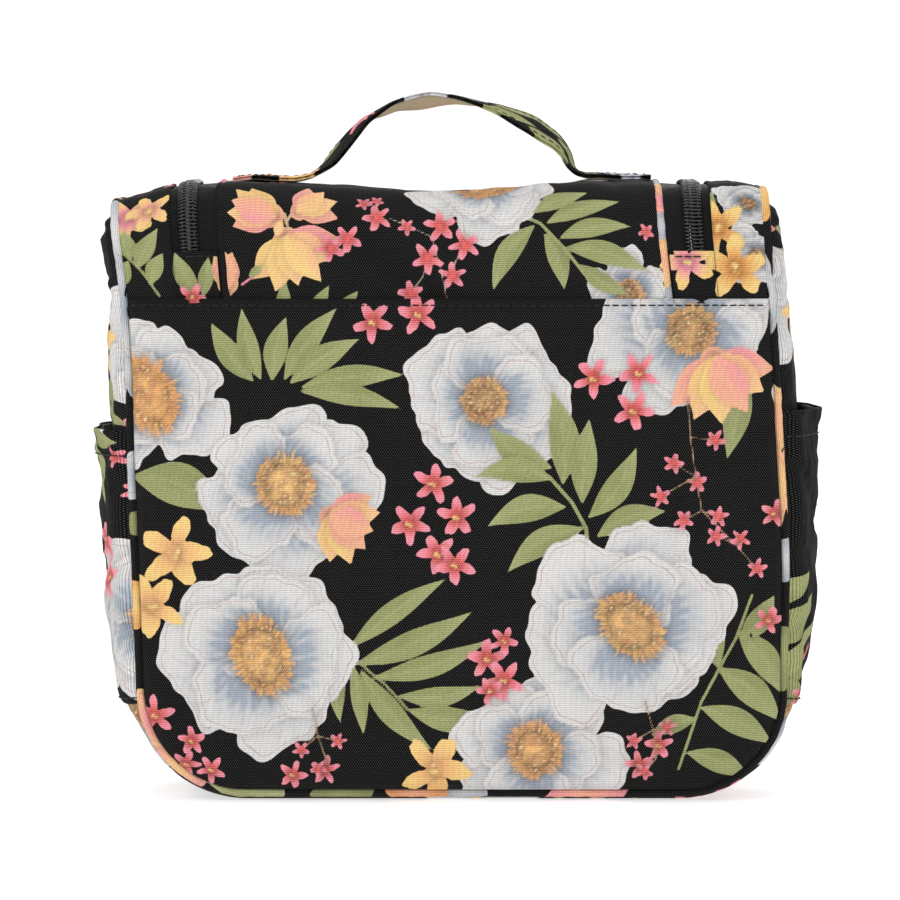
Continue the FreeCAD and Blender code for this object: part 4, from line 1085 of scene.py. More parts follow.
EDGE = 1.2  # of a cut edge inside the middle of a piping
x, z = face_grid(SEAM_Z, SIDE - EDGE, FOOT + EDGE, CORNER - EDGE, STEP)
edge = SEAM_Z - z
fold = 0.85 * ease(11, 8.5, edge) - 0.5 * bump(edge - 2.3, 0.9) - 0.45 * np.exp(-edge / 0.3)
verts, faces, coords = cloth_slab(x, along(z), fold, wrap, 0.8)
rgb, cover, outline = board.at(verts[:, 0] + 4, verts[:, 2])
cover[x.size :] = FAR
fields = {"print": rgb, "cover": cover, "line": outline, "cloth": coords}
back = piece(
    "back_cloth", verts, faces, "printed_cloth", "bag_body", ("back_panel", "back_foam"), fields=fields,
)
body_thread = [
    thread(wrap, *line((-SIDE + 2.5, along(SEAM_Z - 2.3)), (SIDE - 2.5, along(SEAM_Z - 2.3))), 0.3),
]


# --- flap -----------------------------------------------------------------------------------------

REAR_FOLD = ("bag_body", "top_flap", (0, -DEPTH, 200), (0, -24, HEIGHT))
FRONT_FOLD = ("top_flap", "front_flap", (0, 24, HEIGHT), (0, DEPTH, 200))
FLAP_EDGE = 0.8
ON_UPPER = (4, UNROLL)  # where the wrap's middle falls on the upper repeat
reach = FLAP - FLAP_EDGE
v = np.arange(0, along(SEAM_Z - 2), -STEP)
v = np.append(v, along(SEAM_Z - 2))[:, None]
x = np.linspace(-reach, reach, 2 * round(reach / STEP) + 1)
x, v = np.broadcast_arrays(x, v)
tuck = -0.55 * ease(along(SEAM_Z + 4), along(SEAM_Z), v)
printed_sheet(
    "flap_cloth_rear", x, v, tuck, wrap, REAR_FOLD, ("yoke_panel", "yoke_foam", "top_panel", "top_foam"),
    upper, ON_UPPER,
)

x, z = face_grid(UNROLL, reach, FLAP_FOOT + FLAP_EDGE, FLAP_CORNER - FLAP_EDGE, STEP)
printed_sheet(
    "flap_cloth_front", x, UNROLL - z, 0.0, wrap, FRONT_FOLD, ("flap_panel", "flap_foam"), upper, ON_UPPER,
)


# --- border ---------------------------------------------------------------------------------------

BORDER_D, BORDER_WIDTH = 18.0, 17.5  # its inner edge outside the flap's outline, and its width
round_v = float(along(FOOT + CORNER, 1))


def border_grid(p, near, edge, across):
    """Rows of the border's cloth, from near outside the flap's outline to edge inside the body's piping."""
    inner_x, inner_v = zip_line(p, near)
    q, side = np.minimum(p, ZIP_LENGTH - p), np.where(p < ZIP_LENGTH / 2, -1.0, 1.0)
    turn = np.clip((q - ZIP_LEG) / ZIP_ARC, 0, 1) * math.pi / 2
    share = np.clip((q - ZIP_LEG - ZIP_ARC) / FLAP_TURN, 0, 1)
    outer_x = side * ((SIDE - CORNER) * (1 - share) + (CORNER - edge) * np.cos(turn))
    leg_v = ZIP_TOP + np.minimum(q, ZIP_LEG) / ZIP_LEG * (round_v - ZIP_TOP)
    outer_v = leg_v + (CORNER - edge) * np.sin(turn)
    return inner_x + (outer_x - inner_x) * across, inner_v + (outer_v - inner_v) * across


across = np.linspace(0, 1, round(BORDER_WIDTH / STEP) + 1)
x, v = border_grid(np.linspace(0, ZIP_LENGTH, round(ZIP_LENGTH / STEP))[:, None], BORDER_D, EDGE, across)
near = across * BORDER_WIDTH
fold = 0.35 * ease(9, 7, near) - 0.35 * bump(near - 2.2, 0.9) - 0.4 * np.exp(-near / 0.35)
printed_sheet(
    "border_cloth", x, v, fold, wrap, "bag_body", ("border_panel", "border_foam"), upper, ON_UPPER,
)


# --- gusset and side pockets ----------------------------------------------------------------------

turn = np.arange(0.15, math.pi / 2, STEP / TOP_R)
rows = np.concatenate([TOP_R * (1 - np.sin(turn[::-1])), np.arange(TOP_R, GIRTH / 2, STEP * 1.15)])
rows = np.concatenate([rows, GIRTH - rows[::-1]])
s = np.minimum(rows, GIRTH - rows)
end_gap = np.maximum(TOP_R - s, 0) / TOP_R
reach = HALF_FLAT + 0.2 + TOP_R * np.sqrt(np.maximum(1 - end_gap**2, 0))
y = reach[:, None] * np.linspace(-1, 1, round(83 / STEP / 1.1))
t = np.broadcast_to(rows[:, None], y.shape)
printed_sheet(
    "gusset_cloth", t, y, 0.0, gusset, "bag_body", ("gusset_panel", "gusset_foam"), board, (-26, 228),
    math.pi / 2,
)

POCKET_FOOT = low("side_pocket_left")[2]
GUSSET_TOP = LEG + TURN
POCKET_HEM, POCKET_HALF = 9.0, 41.2


def pocket(side, mouth, gape, seed):
    """A flat pocket sewn on an end: printed outside, lining inside, a stitched hem at its open top."""
    top, foot = GUSSET_TOP - mouth, GUSSET_TOP - POCKET_FOOT
    rim, inner = 1.2, POCKET_HALF - 0.6
    upper_rim, lower_rim = np.arange(top, top + rim, 0.3), np.arange(foot - rim, foot, 0.3)
    s = np.concatenate([upper_rim, np.arange(top + rim, foot - rim, STEP), lower_rim])
    y = np.concatenate([[-POCKET_HALF], np.linspace(-inner, inner, round(81 / STEP)), [POCKET_HALF]])
    s, y = np.broadcast_arrays(s[:, None], y)
    down = (s - top) / (foot - top)
    bowed = 1 - (y / POCKET_HALF) ** 2
    h = 0.9 + 4.4 * bowed**0.7 * (ease(0, 0.25, 1 - down) * 0.8 + 0.2) * (1 - 0.35 * down)
    h = h + gape * np.exp(-down * 7) * bowed**0.8
    h = h + bowed**0.5 * (0.55 * waves((s, y), 42, seed) + 0.3 * waves((s, y * 2.5), 22, seed + 1))
    hem = s - top
    h = h + 0.45 * ease(10.5, 8.5, hem) - 0.5 * bump(hem - POCKET_HEM, 0.8) - 0.5 * np.exp(-hem / 0.4)
    h = h * (1 - np.exp(-(END_HALF - np.abs(y)) / 1.6)) * (1 - 0.75 * np.exp(-(foot - s) / 1.2)) + 0.3
    t = s if side < 0 else GIRTH - s
    name = "left" if side < 0 else "right"
    at = (40, 14) if side < 0 else (150, 250)
    printed_sheet(
        f"side_pocket_cloth_{name}", t, y, h, gusset, "bag_body", (f"side_pocket_{name}",), board, at,
        -side * math.pi / 2,
    )
    k = slice(2, -2, 2), slice(1, -1, 2)
    sheet(f"side_pocket_lining_{name}", t[k], y[k], h[k] - 1.0, gusset, 0.35, "lining", "bag_body")
    for seam, lift in ((top + POCKET_HEM, 0.12), (foot - 2.2, 0.05)):
        k = int(np.argmin(np.abs(s[:, 0] - seam))), slice(2, -2)
        body_thread.append(thread(gusset, t[k], y[k], h[k] + lift))


pocket(-1, 132, 0.9, 31)
pocket(1, 139, 2.4, 41)


# --- piping ---------------------------------------------------------------------------------------

PIPE_H, PIPE_STEP = -0.8, 0.9  # the cord's middle off the cloth, and the way between its rings


def corner_arc(cx, cv, radius, start, end, step=PIPE_STEP):
    turn = np.linspace(start, end, round(abs(end - start) * radius / step) + 1)
    return np.stack([cx + radius * np.cos(turn), cv + radius * np.sin(turn)], -1)


def pipe(name, path, radius, body, replaces, at, closed=False):
    """A covered cord along a path of cloth points."""
    centre = wrap(path[:, 0], path[:, 1], PIPE_H)
    out = wrap(path[:, 0], path[:, 1], PIPE_H + 1) - centre
    s = np.arange(len(path)) * PIPE_STEP
    width = radius * (1 + 0.035 * waves([s], 9, 51) + 0.02 * waves([s], 3.5, 52))
    verts, faces, coords = tube(centre, width, 14, out, closed)
    fields = printed(np.stack([coords[:, 0], coords[:, 1], 0 * coords[:, 0]], -1), trim, at=(at, 6.0))
    return piece(name, verts, faces, "printed_cloth", body, replaces, "piping_cloth", fields)


# the print as it falls along the piping: where each stretch starts and ends, and its two colours
TRIM_LEFT, TRIM_RIGHT, TRIM_FRONT = 1420, 1505, 250
trim = Cloth(1600, 12, (0, 0), 0.4)
stretches = [
    (22, 38, GOLD, AMBER), (54, 63, LEAF, LEAF_DARK), (68, 84, SHADE, WHITE), (104, 124, WHITE, SHADE),
    (122, 150, SHADE, WHITE), (148, 177, WHITE, SHADE), (964, 992, WHITE, SHADE), (1010, 1036, PEACH, GOLD),
    (1034, 1060, GOLD, PEACH), (1067, 1080, WHITE, SHADE), (1098, 1118, LEAF, LEAF_DARK),
    (1200, 1226, PEACH, PINK), (1248, 1264, WHITE, SHADE), (1264, 1284, PEACH, AMBER),
    (1289, 1311, LEAF, LEAF_DARK), (1322, 1348, LEAF, LEAF_PALE), (1350, 1372, GOLD, PINK),
    (1370, 1392, PINK, GOLD), (1400, 1412, PINK, CORAL), (TRIM_LEFT + 50, TRIM_LEFT + 60, PINK, CORAL),
    (TRIM_LEFT + 64, TRIM_LEFT + 76, WHITE, SHADE), (TRIM_RIGHT, TRIM_RIGHT + 7, WHITE, SHADE),
    (TRIM_RIGHT + 7, TRIM_RIGHT + 22, PEACH, GOLD), (TRIM_RIGHT + 22, TRIM_RIGHT + 32, WHITE, SHADE),
    (TRIM_RIGHT + 32, TRIM_RIGHT + 41, PINK, PEACH), (TRIM_RIGHT + 41, TRIM_RIGHT + 58, GOLD, PEACH),
    (TRIM_RIGHT + 60, TRIM_RIGHT + 78, SHADE, WHITE),
]
r = np.random.default_rng(61)
palette = (
    (WHITE, SHADE), (SHADE, WHITE), (LEAF, LEAF_DARK), (GOLD, AMBER), (PINK, CORAL), (PEACH, GOLD),
    (WHITE, SHADE),
)
stop = 190.0
while stop < 940:
    reach = r.uniform(7, 28)
    stretches.append((stop, stop + reach, *palette[int(r.integers(len(palette)))]))
    stop += reach + r.uniform(0, 22)
for start, end, tint, other in stretches:
    half = (end - start) / 2
    trim.petal(start + half, r.uniform(4, 8), r.uniform(-0.25, 0.25), 0, half * 1.08, r.uniform(7, 11),
               lambda far, angle, a, b: mix(tint, other, 0.7 * ease(0, half, far)), int(r.integers(1e6)), 0.1)

quarter = math.pi / 2


def body_loop(inset_by=0.0):
    """The closed seam round the back, the top's ends and the front, in cloth coordinates."""
    left_x, side_x, radius = SIDE - CORNER, SIDE - inset_by, CORNER - inset_by
    return np.concatenate([
        resample([(-side_x, -round_v), (-side_x, round_v)], PIPE_STEP)[:-1],
        corner_arc(-left_x, round_v, radius, math.pi, quarter)[:-1],
        resample([(-left_x, round_v + radius), (left_x, round_v + radius)], PIPE_STEP)[:-1],
        corner_arc(left_x, round_v, radius, quarter, 0)[:-1],
        resample([(side_x, round_v), (side_x, -round_v)], PIPE_STEP)[:-1],
        corner_arc(left_x, -round_v, radius, 0, -quarter)[:-1],
        resample([(left_x, -round_v - radius), (-left_x, -round_v - radius)], PIPE_STEP)[:-1],
        corner_arc(-left_x, -round_v, radius, -quarter, -math.pi)[:-1],
    ])


pipe("body_piping_cloth", body_loop(), PIPE, "bag_body", ("body_piping", "body_piping_cord"), 0, True)
for name, side in (("left", -1), ("right", 1)):
    path = resample([(side * FLAP, along(SEAM_Z - 1)), (side * FLAP, 0.0)], PIPE_STEP)
    pipe(
        f"flap_piping_cloth_{name}", path, FLAP_PIPE, REAR_FOLD,
        ("yoke_piping", "yoke_piping_cord", "top_piping", "top_piping_cord") if side < 0 else (),
        TRIM_LEFT if side < 0 else TRIM_RIGHT,
    )
path = np.concatenate([
    resample([(-FLAP, 0.0), (-FLAP, RUN)], PIPE_STEP)[:-1],
    corner_arc(-FLAP_TURN, RUN, FLAP_CORNER, math.pi, quarter)[:-1],
    resample([(-FLAP_TURN, RUN + FLAP_CORNER), (FLAP_TURN, RUN + FLAP_CORNER)], PIPE_STEP)[:-1],
    corner_arc(FLAP_TURN, RUN, FLAP_CORNER, quarter, 0)[:-1],
    resample([(FLAP, RUN), (FLAP, 0.0)], PIPE_STEP),
])
pipe("flap_piping_cloth_front", path, FLAP_PIPE, FRONT_FOLD, ("flap_piping", "flap_piping_cord"), TRIM_FRONT)


# --- zip ------------------------------------------------------------------------------------------

TEETH, TAPE_H = 1.3, -1.0  # pitch of the teeth, and the tapes off the cloth
FLAP_TAPE, BODY_TAPE = (0.9, 10.1), (12.9, 21.0)  # the tapes' edges outside the flap's outline


def zip_tape(name, p, edges, body, replaces):
    x, v = zip_line(p[:, None], np.linspace(*edges, 8))
    sheet(name, x, v, TAPE_H, wrap, 0.6, "zip_tape", body, replaces)


def chain_thread(start, end, d):
    return thread(wrap, *zip_line(np.arange(start, end, 0.5), d), 0.4)


def coil(name, start, end, side, body, replaces):
    """One side of a coil zip: a row of slanted loops whose heads reach between those of the other side."""
    parts = []
    for p in np.arange(start + TEETH / 2 * (side > 0), end, TEETH):
        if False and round(p / TEETH) % 4:
            continue
        d = CHAIN + side * np.array((3.1, 3.15, 2.6, 1.4, 0.4, -0.35, -0.75, -0.6))
        h = np.array((-1.0, -0.3, 0.25, 0.42, 0.4, 0.22, -0.25, -0.75))
        slant = p + 0.18 * np.linspace(-1, 1, 8)
        x, v = zip_line(slant, d)
        points = wrap(x, v, h)
        out = wrap(x, v, h + 1) - points
        size = np.array((0.4, 0.43, 0.43, 0.42, 0.44, 0.56, 0.56, 0.4))
        parts.append(tube(points, size, 6, out))
    parts.append(chain_thread(start, end, CHAIN + side * 2.0))
    verts, faces, coords = merged(parts)
    piece(name, verts, faces, "coil", body, replaces, "zip_coil")


MID_LEFT = -ZIP_TOP
MID_RIGHT = ZIP_LENGTH + ZIP_TOP
for name, start, end in (("left", 1.0, MID_LEFT), ("right", MID_RIGHT, ZIP_LENGTH - 1.0)):
    p = np.linspace(start, end, round((end - start) / 1.5))
    zip_tape(
        f"flap_tape_{name}", p, FLAP_TAPE, REAR_FOLD,
        ("zip_tape_yoke", "zip_tape_top") if name == "left" else (),
    )
    coil(
        f"flap_coil_{name}", start + 14, end, -1, REAR_FOLD,
        ("zip_coil_yoke", "zip_coil_top") if name == "left" else (),
    )
zip_tape("flap_tape_front", np.linspace(MID_LEFT, MID_RIGHT, 420), FLAP_TAPE, FRONT_FOLD, ("zip_tape_flap",))
coil("flap_coil_front", MID_LEFT, MID_RIGHT, -1, FRONT_FOLD, ("zip_coil_flap",))
zip_tape("body_tape", np.linspace(1, ZIP_LENGTH - 1, 520), BODY_TAPE, "bag_body", ("zip_tape_body",))
coil("body_coil", 15, ZIP_LENGTH - 15, 1, "bag_body", ("zip_coil_body",))


# --- zip end tabs ---------------------------------------------------------------------------------

NEAR, WIDE = 1.9, 17.8  # the tabs' edges outside the flap
TAB_NEAR, TAB_FAR = FLAP + NEAR, FLAP + WIDE
for name, side in (("left", -1), ("right", 1)):
    x = side * np.concatenate([[TAB_NEAR], np.linspace(TAB_NEAR + 0.3, TAB_FAR - 0.3, 28), [TAB_FAR]])
    z = np.concatenate([[TAB_Z, TAB_Z - 0.3], np.linspace(TAB_Z - 0.8, SEAM_Z - 1.5, 30)])[:, None]
    x, z = np.broadcast_arrays(np.sort(x), z)
    d = np.abs(x) - FLAP
    bulge = 1.5 * bump(d - CHAIN, 4.5)
    rim = np.minimum(np.minimum(d - NEAR, WIDE - d), TAB_Z - z)
    h = 0.35 + bulge - 0.7 * np.exp(-rim / 0.5) - 0.35 * bump(rim - 2.0, 0.7)
    h = h - ease(SEAM_Z + 2, SEAM_Z, z)
    h = h + 0.2 * waves((x, z), 8, 71)
    printed_sheet(
        f"zip_end_cloth_{name}", x, along(z), h, wrap, "bag_body", (f"zip_end_tab_{name}",), upper, ON_UPPER,
        depth=1.2,
    )
    near_x, far_x = side * (TAB_NEAR + 2), side * (TAB_FAR - 2)
    u, v = line((near_x, along(TAB_Z - 2)), (far_x, along(TAB_Z - 2)))
    lift = 0.3 + 1.5 * bump(np.abs(u) - FLAP - CHAIN, 4.5)
    body_thread.append(thread(wrap, u, v, lift))


# --- handle ---------------------------------------------------------------------------------------

HANDLE_HALF, HANDLE_SEAM = 9.0, 7.2  # half of the strap's width, and its seams from its middle
HANDLE = (
    (-75.2, 221.0), (-62, 221.0), (-52, 221.3), (-46, 223.5), (-40.5, 228), (-34.5, 236), (-28, 243),
    (-18, 248), (-5, 250.2), (5, 250.3), (20, 246.8), (33, 241), (41.5, 235), (45.5, 230.5), (46.4, 226.5),
    (48.5, 223), (53, 221.3), (62, 221.0), (75.2, 221.0),
)
curve = resample(HANDLE, 0.8)
curve = resample(smoothed(curve, 7), 0.8)
handle_run = np.arange(len(curve)) * 0.8
lift = curve[:, 1] - HEIGHT
ground = wrap(curve[:, 0], 0.0)
spine = np.stack([ground[:, 0], 0 * lift, HEIGHT + lift + (ground[:, 2] - HEIGHT) * np.exp(-lift / 9)], -1)
spine[:, 0] += (curve[:, 0] - spine[:, 0]) * 0.2
spine_way = unit(np.gradient(spine, axis=0))
APEX = int(np.argmax(spine[:, 2]))
twist = 0.26 * bump(curve[:, 0] + 8, 13) - 0.2 * bump(curve[:, 0] + 37, 9)
twist = twist - 0.33 * bump(curve[:, 0] - 34, 15)
twist = twist * ease(1.5, 9, lift)


def strap(s, w, h):
    """Points of the handle: s along it, w across it, h off its middle."""
    s, w, h = np.broadcast_arrays(s, w, h)
    at, way = sample(s, handle_run, spine), sample(s, handle_run, spine_way)
    turn, rise = np.interp(s, handle_run, twist), np.interp(s, handle_run, lift)
    across = np.zeros_like(at)
    across[..., 1] = 1.0
    up = np.cross(across, -way)
    up = up * np.sign(up[..., 2:3] + 1e-9)
    c, n = np.cos(turn)[..., None], np.sin(turn)[..., None]
    wide, tall = across * c - up * n, up * c + across * n
    curl = 0.5 * (w / HANDLE_HALF) ** 2 * ease(2, 12, rise) + 0.18 * waves((s, w * 2), 16, 81)
    return at + wide * w[..., None] + tall * (h - curl)[..., None]


belt = Cloth(252, 24, (-20, 0), 0.25)
for x, z, turn, long, wide, tint, other in (
    (4, 8, 0.3, 9, 6, PINK, GOLD), (17, 16, -0.2, 9, 5, GOLD, PEACH), (24, 5, 0.2, 7, 4, GOLD, PEACH),
    (52, 12, 0.9, 6, 3, PINK, CORAL), (58, 15, -0.6, 6, 3, CORAL, PINK), (56, 8, -0.9, 5, 2.5, PINK, CORAL),
    (80, 7, 0.2, 12, 5, WHITE, SHADE), (93, 14, -0.3, 9, 6, WHITE, SHADE), (86, 20, 0.1, 8, 3, PEACH, AMBER),
    (166, 13, 0.0, 16, 9, WHITE, SHADE), (184, 9, 0.2, 12, 7, SHADE, WHITE),
):
    belt.petal(
        x, z, turn, 0, long, wide, lambda far, angle, a, b: mix(tint, other, ease(2, 9, far) * 0.7), int(x),
        0.08,
    )
for x0, z0, x1, z1 in (
    (100, 3, 122, 9), (104, 12, 128, 19), (112, 21, 134, 15), (118, 5, 140, 3), (130, 12, 150, 8),
    (134, 19, 155, 20), (146, 5, 160, 13), (30, 19, 44, 14),
):
    belt.blade(x0, z0, x1, z1, 6.5, 0.06)
handle_end = handle_run[-1]
for name, s0, s1, start, end, gone in (
    ("left", 0.0, handle_run[APEX], (-52, 0, 222), (-38, 0, 229), ("handle_strap", "handle_end_left")),
    ("right", handle_run[APEX], handle_end, (54, 0, 221.5), (46, 0, 231), ("handle_end_right",)),
):
    body = ("top_flap", "handle_arch", start, end)
    s = np.linspace(s0, s1, round((s1 - s0) / 0.8))[:, None]
    inner = HANDLE_HALF - 0.3
    w = np.concatenate([[-HANDLE_HALF], np.linspace(-inner, inner, 26), [HANDLE_HALF]])
    s, w = np.broadcast_arrays(s, w)
    rim = HANDLE_HALF - np.abs(w)
    h = 0.9 - 0.5 * np.exp(-rim / 0.25) - 0.3 * bump(rim - 1.8, 0.6)
    made = cloth_slab(s, w, h, strap, 1.1)
    fields = printed(made[2], belt, at=(0.0, 12.0))
    piece(f"handle_cloth_{name}", *made[:2], "printed_cloth", body, gone, fields=fields)
    inner = slice(1, -1)
    sheet(
        f"handle_webbing_{name}", s[:, inner], w[:, inner] * 0.96, -0.25, strap, 0.7, "webbing", body,
        slot="strap_cloth",
    )
    lines = [
        thread(strap, np.arange(max(s0, 2), min(s1, handle_end - 2), 0.5), w, 0.42)
        for w in (-HANDLE_SEAM, HANDLE_SEAM)
    ]
    a, b = (2.2, 18.5) if name == "left" else (handle_end - 18.5, handle_end - 2.2)
    w = HANDLE_SEAM
    for first, last in (((a, -w), (a, w)), ((b, -w), (b, w)), ((a, -w), (b, w)), ((a, w), (b, -w))):
        lines.append(thread(strap, *line(first, last), 0.62))
    stitched(f"handle_stitches_{name}", lines, body, "strap_cloth")


# --- linings --------------------------------------------------------------------------------------

LINING_H, LINING_STEP = -WALL + 0.5, STEP * 2.2  # off the printed cloth, and of its grid


def creased(u, v, seed, base=LINING_H):
    fine = 0.25 * np.abs(waves((u, v), 15, seed + 1))
    return base - 0.35 * waves((u, v), 30, seed) - fine - 0.1 * waves((u, v), 7, seed + 2)


def lined(name, u, v, place, body, replaces, seed):
    """The lining behind a panel, wrinkled a little."""
    sheet(name, u, v, creased(u, v, seed), place, 0.5, "lining", body, replaces)


def calm_wrap(x, v, h):
    """The wrap without most of its outer relief: the inner face of the foam."""
    x, v, h = np.broadcast_arrays(x, v, h)
    relief = pillow(x, v)
    return wrap(x, v, np.minimum(h + 0.15 * relief, relief - 2.9) - relief)


x, z = face_grid(SEAM_Z, SIDE - 5, FOOT + 5, CORNER - 5, LINING_STEP)
lined("back_lining_cloth", x, along(z), calm_wrap, "bag_body", ("back_lining",), 91)
v = np.linspace(0, along(SEAM_Z), round(79 / LINING_STEP))[:, None]
x, v = np.broadcast_arrays(np.linspace(-FLAP, FLAP, round(2 * FLAP / LINING_STEP)), v)
lined("flap_lining_rear", x, v, calm_wrap, REAR_FOLD, ("yoke_lining", "top_lining"), 92)
x, z = face_grid(UNROLL, FLAP - 0.5, FLAP_FOOT + 0.5, FLAP_CORNER - 0.5, LINING_STEP)
lined("flap_lining_front", x, UNROLL - z, calm_wrap, FRONT_FOLD, ("flap_lining",), 92)
p = np.linspace(0, ZIP_LENGTH, round(ZIP_LENGTH / LINING_STEP))[:, None]
x, v = border_grid(p, 20.0, 5, np.linspace(0, 1, 8))
lined("border_lining_cloth", x, v, calm_wrap, "bag_body", ("border_lining",), 94)
t = np.arange(2, GIRTH - 2, LINING_STEP)[:, None]
t, y = np.broadcast_arrays(t, np.linspace(-37.5, 37.5, 40))
lined("gusset_lining_cloth", t, y, gusset, "bag_body", ("gusset_lining",), 95)


# --- bindings on the seams inside -----------------------------------------------------------------

BINDING_STEP, BINDING_HALF, BINDING_RISE = 1.4, 3.3, 0.75  # between its rings, half as wide, half as thick


def binding(name, x, v, body):
    """A folded tape over the raw edges of a seam, on the lining's side."""
    centre = calm_wrap(x, v, -WALL)
    out = wrap(x, v, 1.0) - wrap(x, v, 0.0)
    side = np.cross(unit(np.gradient(centre, axis=0)), out)
    turn = np.linspace(0, 2 * math.pi, 15)[:-1]
    ring_side, ring_out = BINDING_HALF * np.cos(turn), BINDING_RISE * np.sin(turn)
    verts = centre[:, None] + side[:, None] * ring_side[:, None] + out[:, None] * (ring_out - 0.6)[:, None]
    faces = tube_faces(len(centre), len(turn))
    s = np.arange(len(centre))[:, None] * BINDING_STEP
    coords = np.stack(np.broadcast_arrays(s, ring_side, 0.0), -1).reshape(-1, 3)
    piece(name, verts.reshape(-1, 3), faces, "zip_tape", body, slot="lining", fields={"cloth": coords})


for name, start, end, body in (
    ("left", 2, MID_LEFT, REAR_FOLD), ("right", MID_RIGHT, ZIP_LENGTH - 2, REAR_FOLD),
    ("front", MID_LEFT, MID_RIGHT, FRONT_FOLD),
):
    binding(
        f"flap_binding_{name}", *zip_line(np.linspace(start, end, round((end - start) / BINDING_STEP)), 0.6),
        body,
    )
binding(
    "border_binding", *zip_line(np.linspace(2, ZIP_LENGTH - 2, round(ZIP_LENGTH / BINDING_STEP)), 20.0),
    "bag_body",
)
seam = body_loop(4.0)[::2]
binding("body_binding", *np.concatenate([seam, seam[:1]]).T, "bag_body")


# --- slip pocket on the back's lining -------------------------------------------------------------

slip_low, slip_high = low("slip_pocket"), high("slip_pocket")
band_low, band_high = low("slip_pocket_band"), high("slip_pocket_band")


def inside_back(x, z, h):
    """Points inside the bag: h from the back wall's lining towards the front."""
    x, z, h = np.broadcast_arrays(x, z, h)
    return settle(np.stack([x, slip_low[1] + h, z], -1))


def slip_shape(x, up):
    """How far the slip pocket stands off, and the folds its elastic gathers. Both fade at its sewn sides."""
    gathers = np.sin(x * 0.95 + 1.6 * np.sin(x * 0.13) + 0.8 * up)
    sides = slip_high[0] - np.abs(x)
    return (slip_high[1] - slip_low[1] - 2.6) * (1 - np.exp(-sides / 9)), gathers * (1 - np.exp(-sides / 6))


reach = slip_high[0]
z = np.arange(slip_high[2], slip_low[2], -LINING_STEP)[:, None]
x = np.linspace(-reach, reach, round(2 * reach / LINING_STEP * 1.4))
x, z = np.broadcast_arrays(x, z)
up = (z - slip_low[2]) / (slip_high[2] - slip_low[2])
edge = 1 - np.abs(x / reach) ** 8
swell, ruche = slip_shape(x, up)
h = 0.8 + swell * (0.3 + 0.7 * ease(0, 0.35, up))
h = h + 0.75 * ease(0.4, 1, up) * ruche + 0.4 * waves((x, z), 26, 101) * edge
sheet(
    "slip_pocket_cloth", x, z, h, inside_back, 0.5, "inner_cloth", "bag_body", ("slip_pocket",),
)
z = np.linspace(band_high[2] + 0.4, band_low[2], 12)[:, None]
x, z = np.broadcast_arrays(np.linspace(-reach, reach, 400), z)
up = (z - slip_low[2]) / (slip_high[2] - slip_low[2])
swell, ruche = slip_shape(x, up)
h = 2.0 + swell + 0.6 * ruche
h = h + 0.5 * (1 - ((z - band_low[2]) / 9.8 * 2 - 1) ** 2)
sheet("slip_pocket_elastic", x, z, h, inside_back, 1.2, "elastic", "bag_body", ("slip_pocket_band",))


# --- mesh pocket on the flap's lining -------------------------------------------------------------

net_low, net_high = low("mesh_pocket"), high("mesh_pocket")
NET = 2.4  # side of a hole in the net
mouth_z = (low("mesh_pocket_tape")[2] + high("mesh_pocket_tape")[2]) / 2
mouth_reach = 58.0  # half of the width of the opening in the net
mouth_half = 5.4  # and half of its height


def inside_flap(x, z, h):
    """Points inside the bag: h from the flap's lining towards the back."""
    x, z, h = np.broadcast_arrays(x, z, h)
    return np.stack([x, net_high[1] - h, z], -1)


def net_height(x, z):
    edge = np.minimum(net_high[0] - np.abs(x), np.minimum(z - net_low[2], net_high[2] - z))
    return 0.5 + 5.9 * (1 - fade(edge, 7)) + 0.3 * waves((x, z), 24, 111) * ease(0, 12, edge)


columns, net_rows = int(2 * net_high[0] / NET), int((net_high[2] - net_low[2]) / NET)
gx = np.linspace(-net_high[0], net_high[0], columns + 1)
gz = np.linspace(net_low[2], net_high[2], net_rows + 1)
x, z = np.meshgrid(gx, gz)
x = x + 0.28 * NET * np.where(np.arange(len(gz))[:, None] % 2, 1, -1) * (np.abs(x) < net_high[0] - 1)
verts = inside_flap(x, z, net_height(x, z)).reshape(-1, 3)
faces = [
    f for f in grid_faces(*x.shape)
    if not (
        abs(np.mean([verts[k][2] for k in f]) - mouth_z) < mouth_half
        and abs(np.mean([verts[k][0] for k in f])) < mouth_reach
    )
]
net = piece("mesh_pocket_net", verts, faces, "net", "front_flap", ("mesh_pocket",), "mesh")
wire = net.modifiers.new("wire", "WIREFRAME")
wire.thickness = 0.00055  # metres
wire.use_even_offset = False

rim = [
    (-net_high[0], net_low[2]), (net_high[0], net_low[2]), (net_high[0], net_high[2]),
    (-net_high[0], net_high[2]), (-net_high[0], net_low[2]),
]
u, w = line(*rim)
u, w = u * (1 - 1.2 / net_high[0]), w + np.where(w < 120, 1.2, -1.2)
centre = inside_flap(u, w, 1.4)
made = tube(centre[::2], 1.5, 10, (0, -1, 0), closed=True)
piece("mesh_pocket_binding", *made[:2], "zip_tape", "front_flap", slot="mesh", fields={"cloth": made[2]})

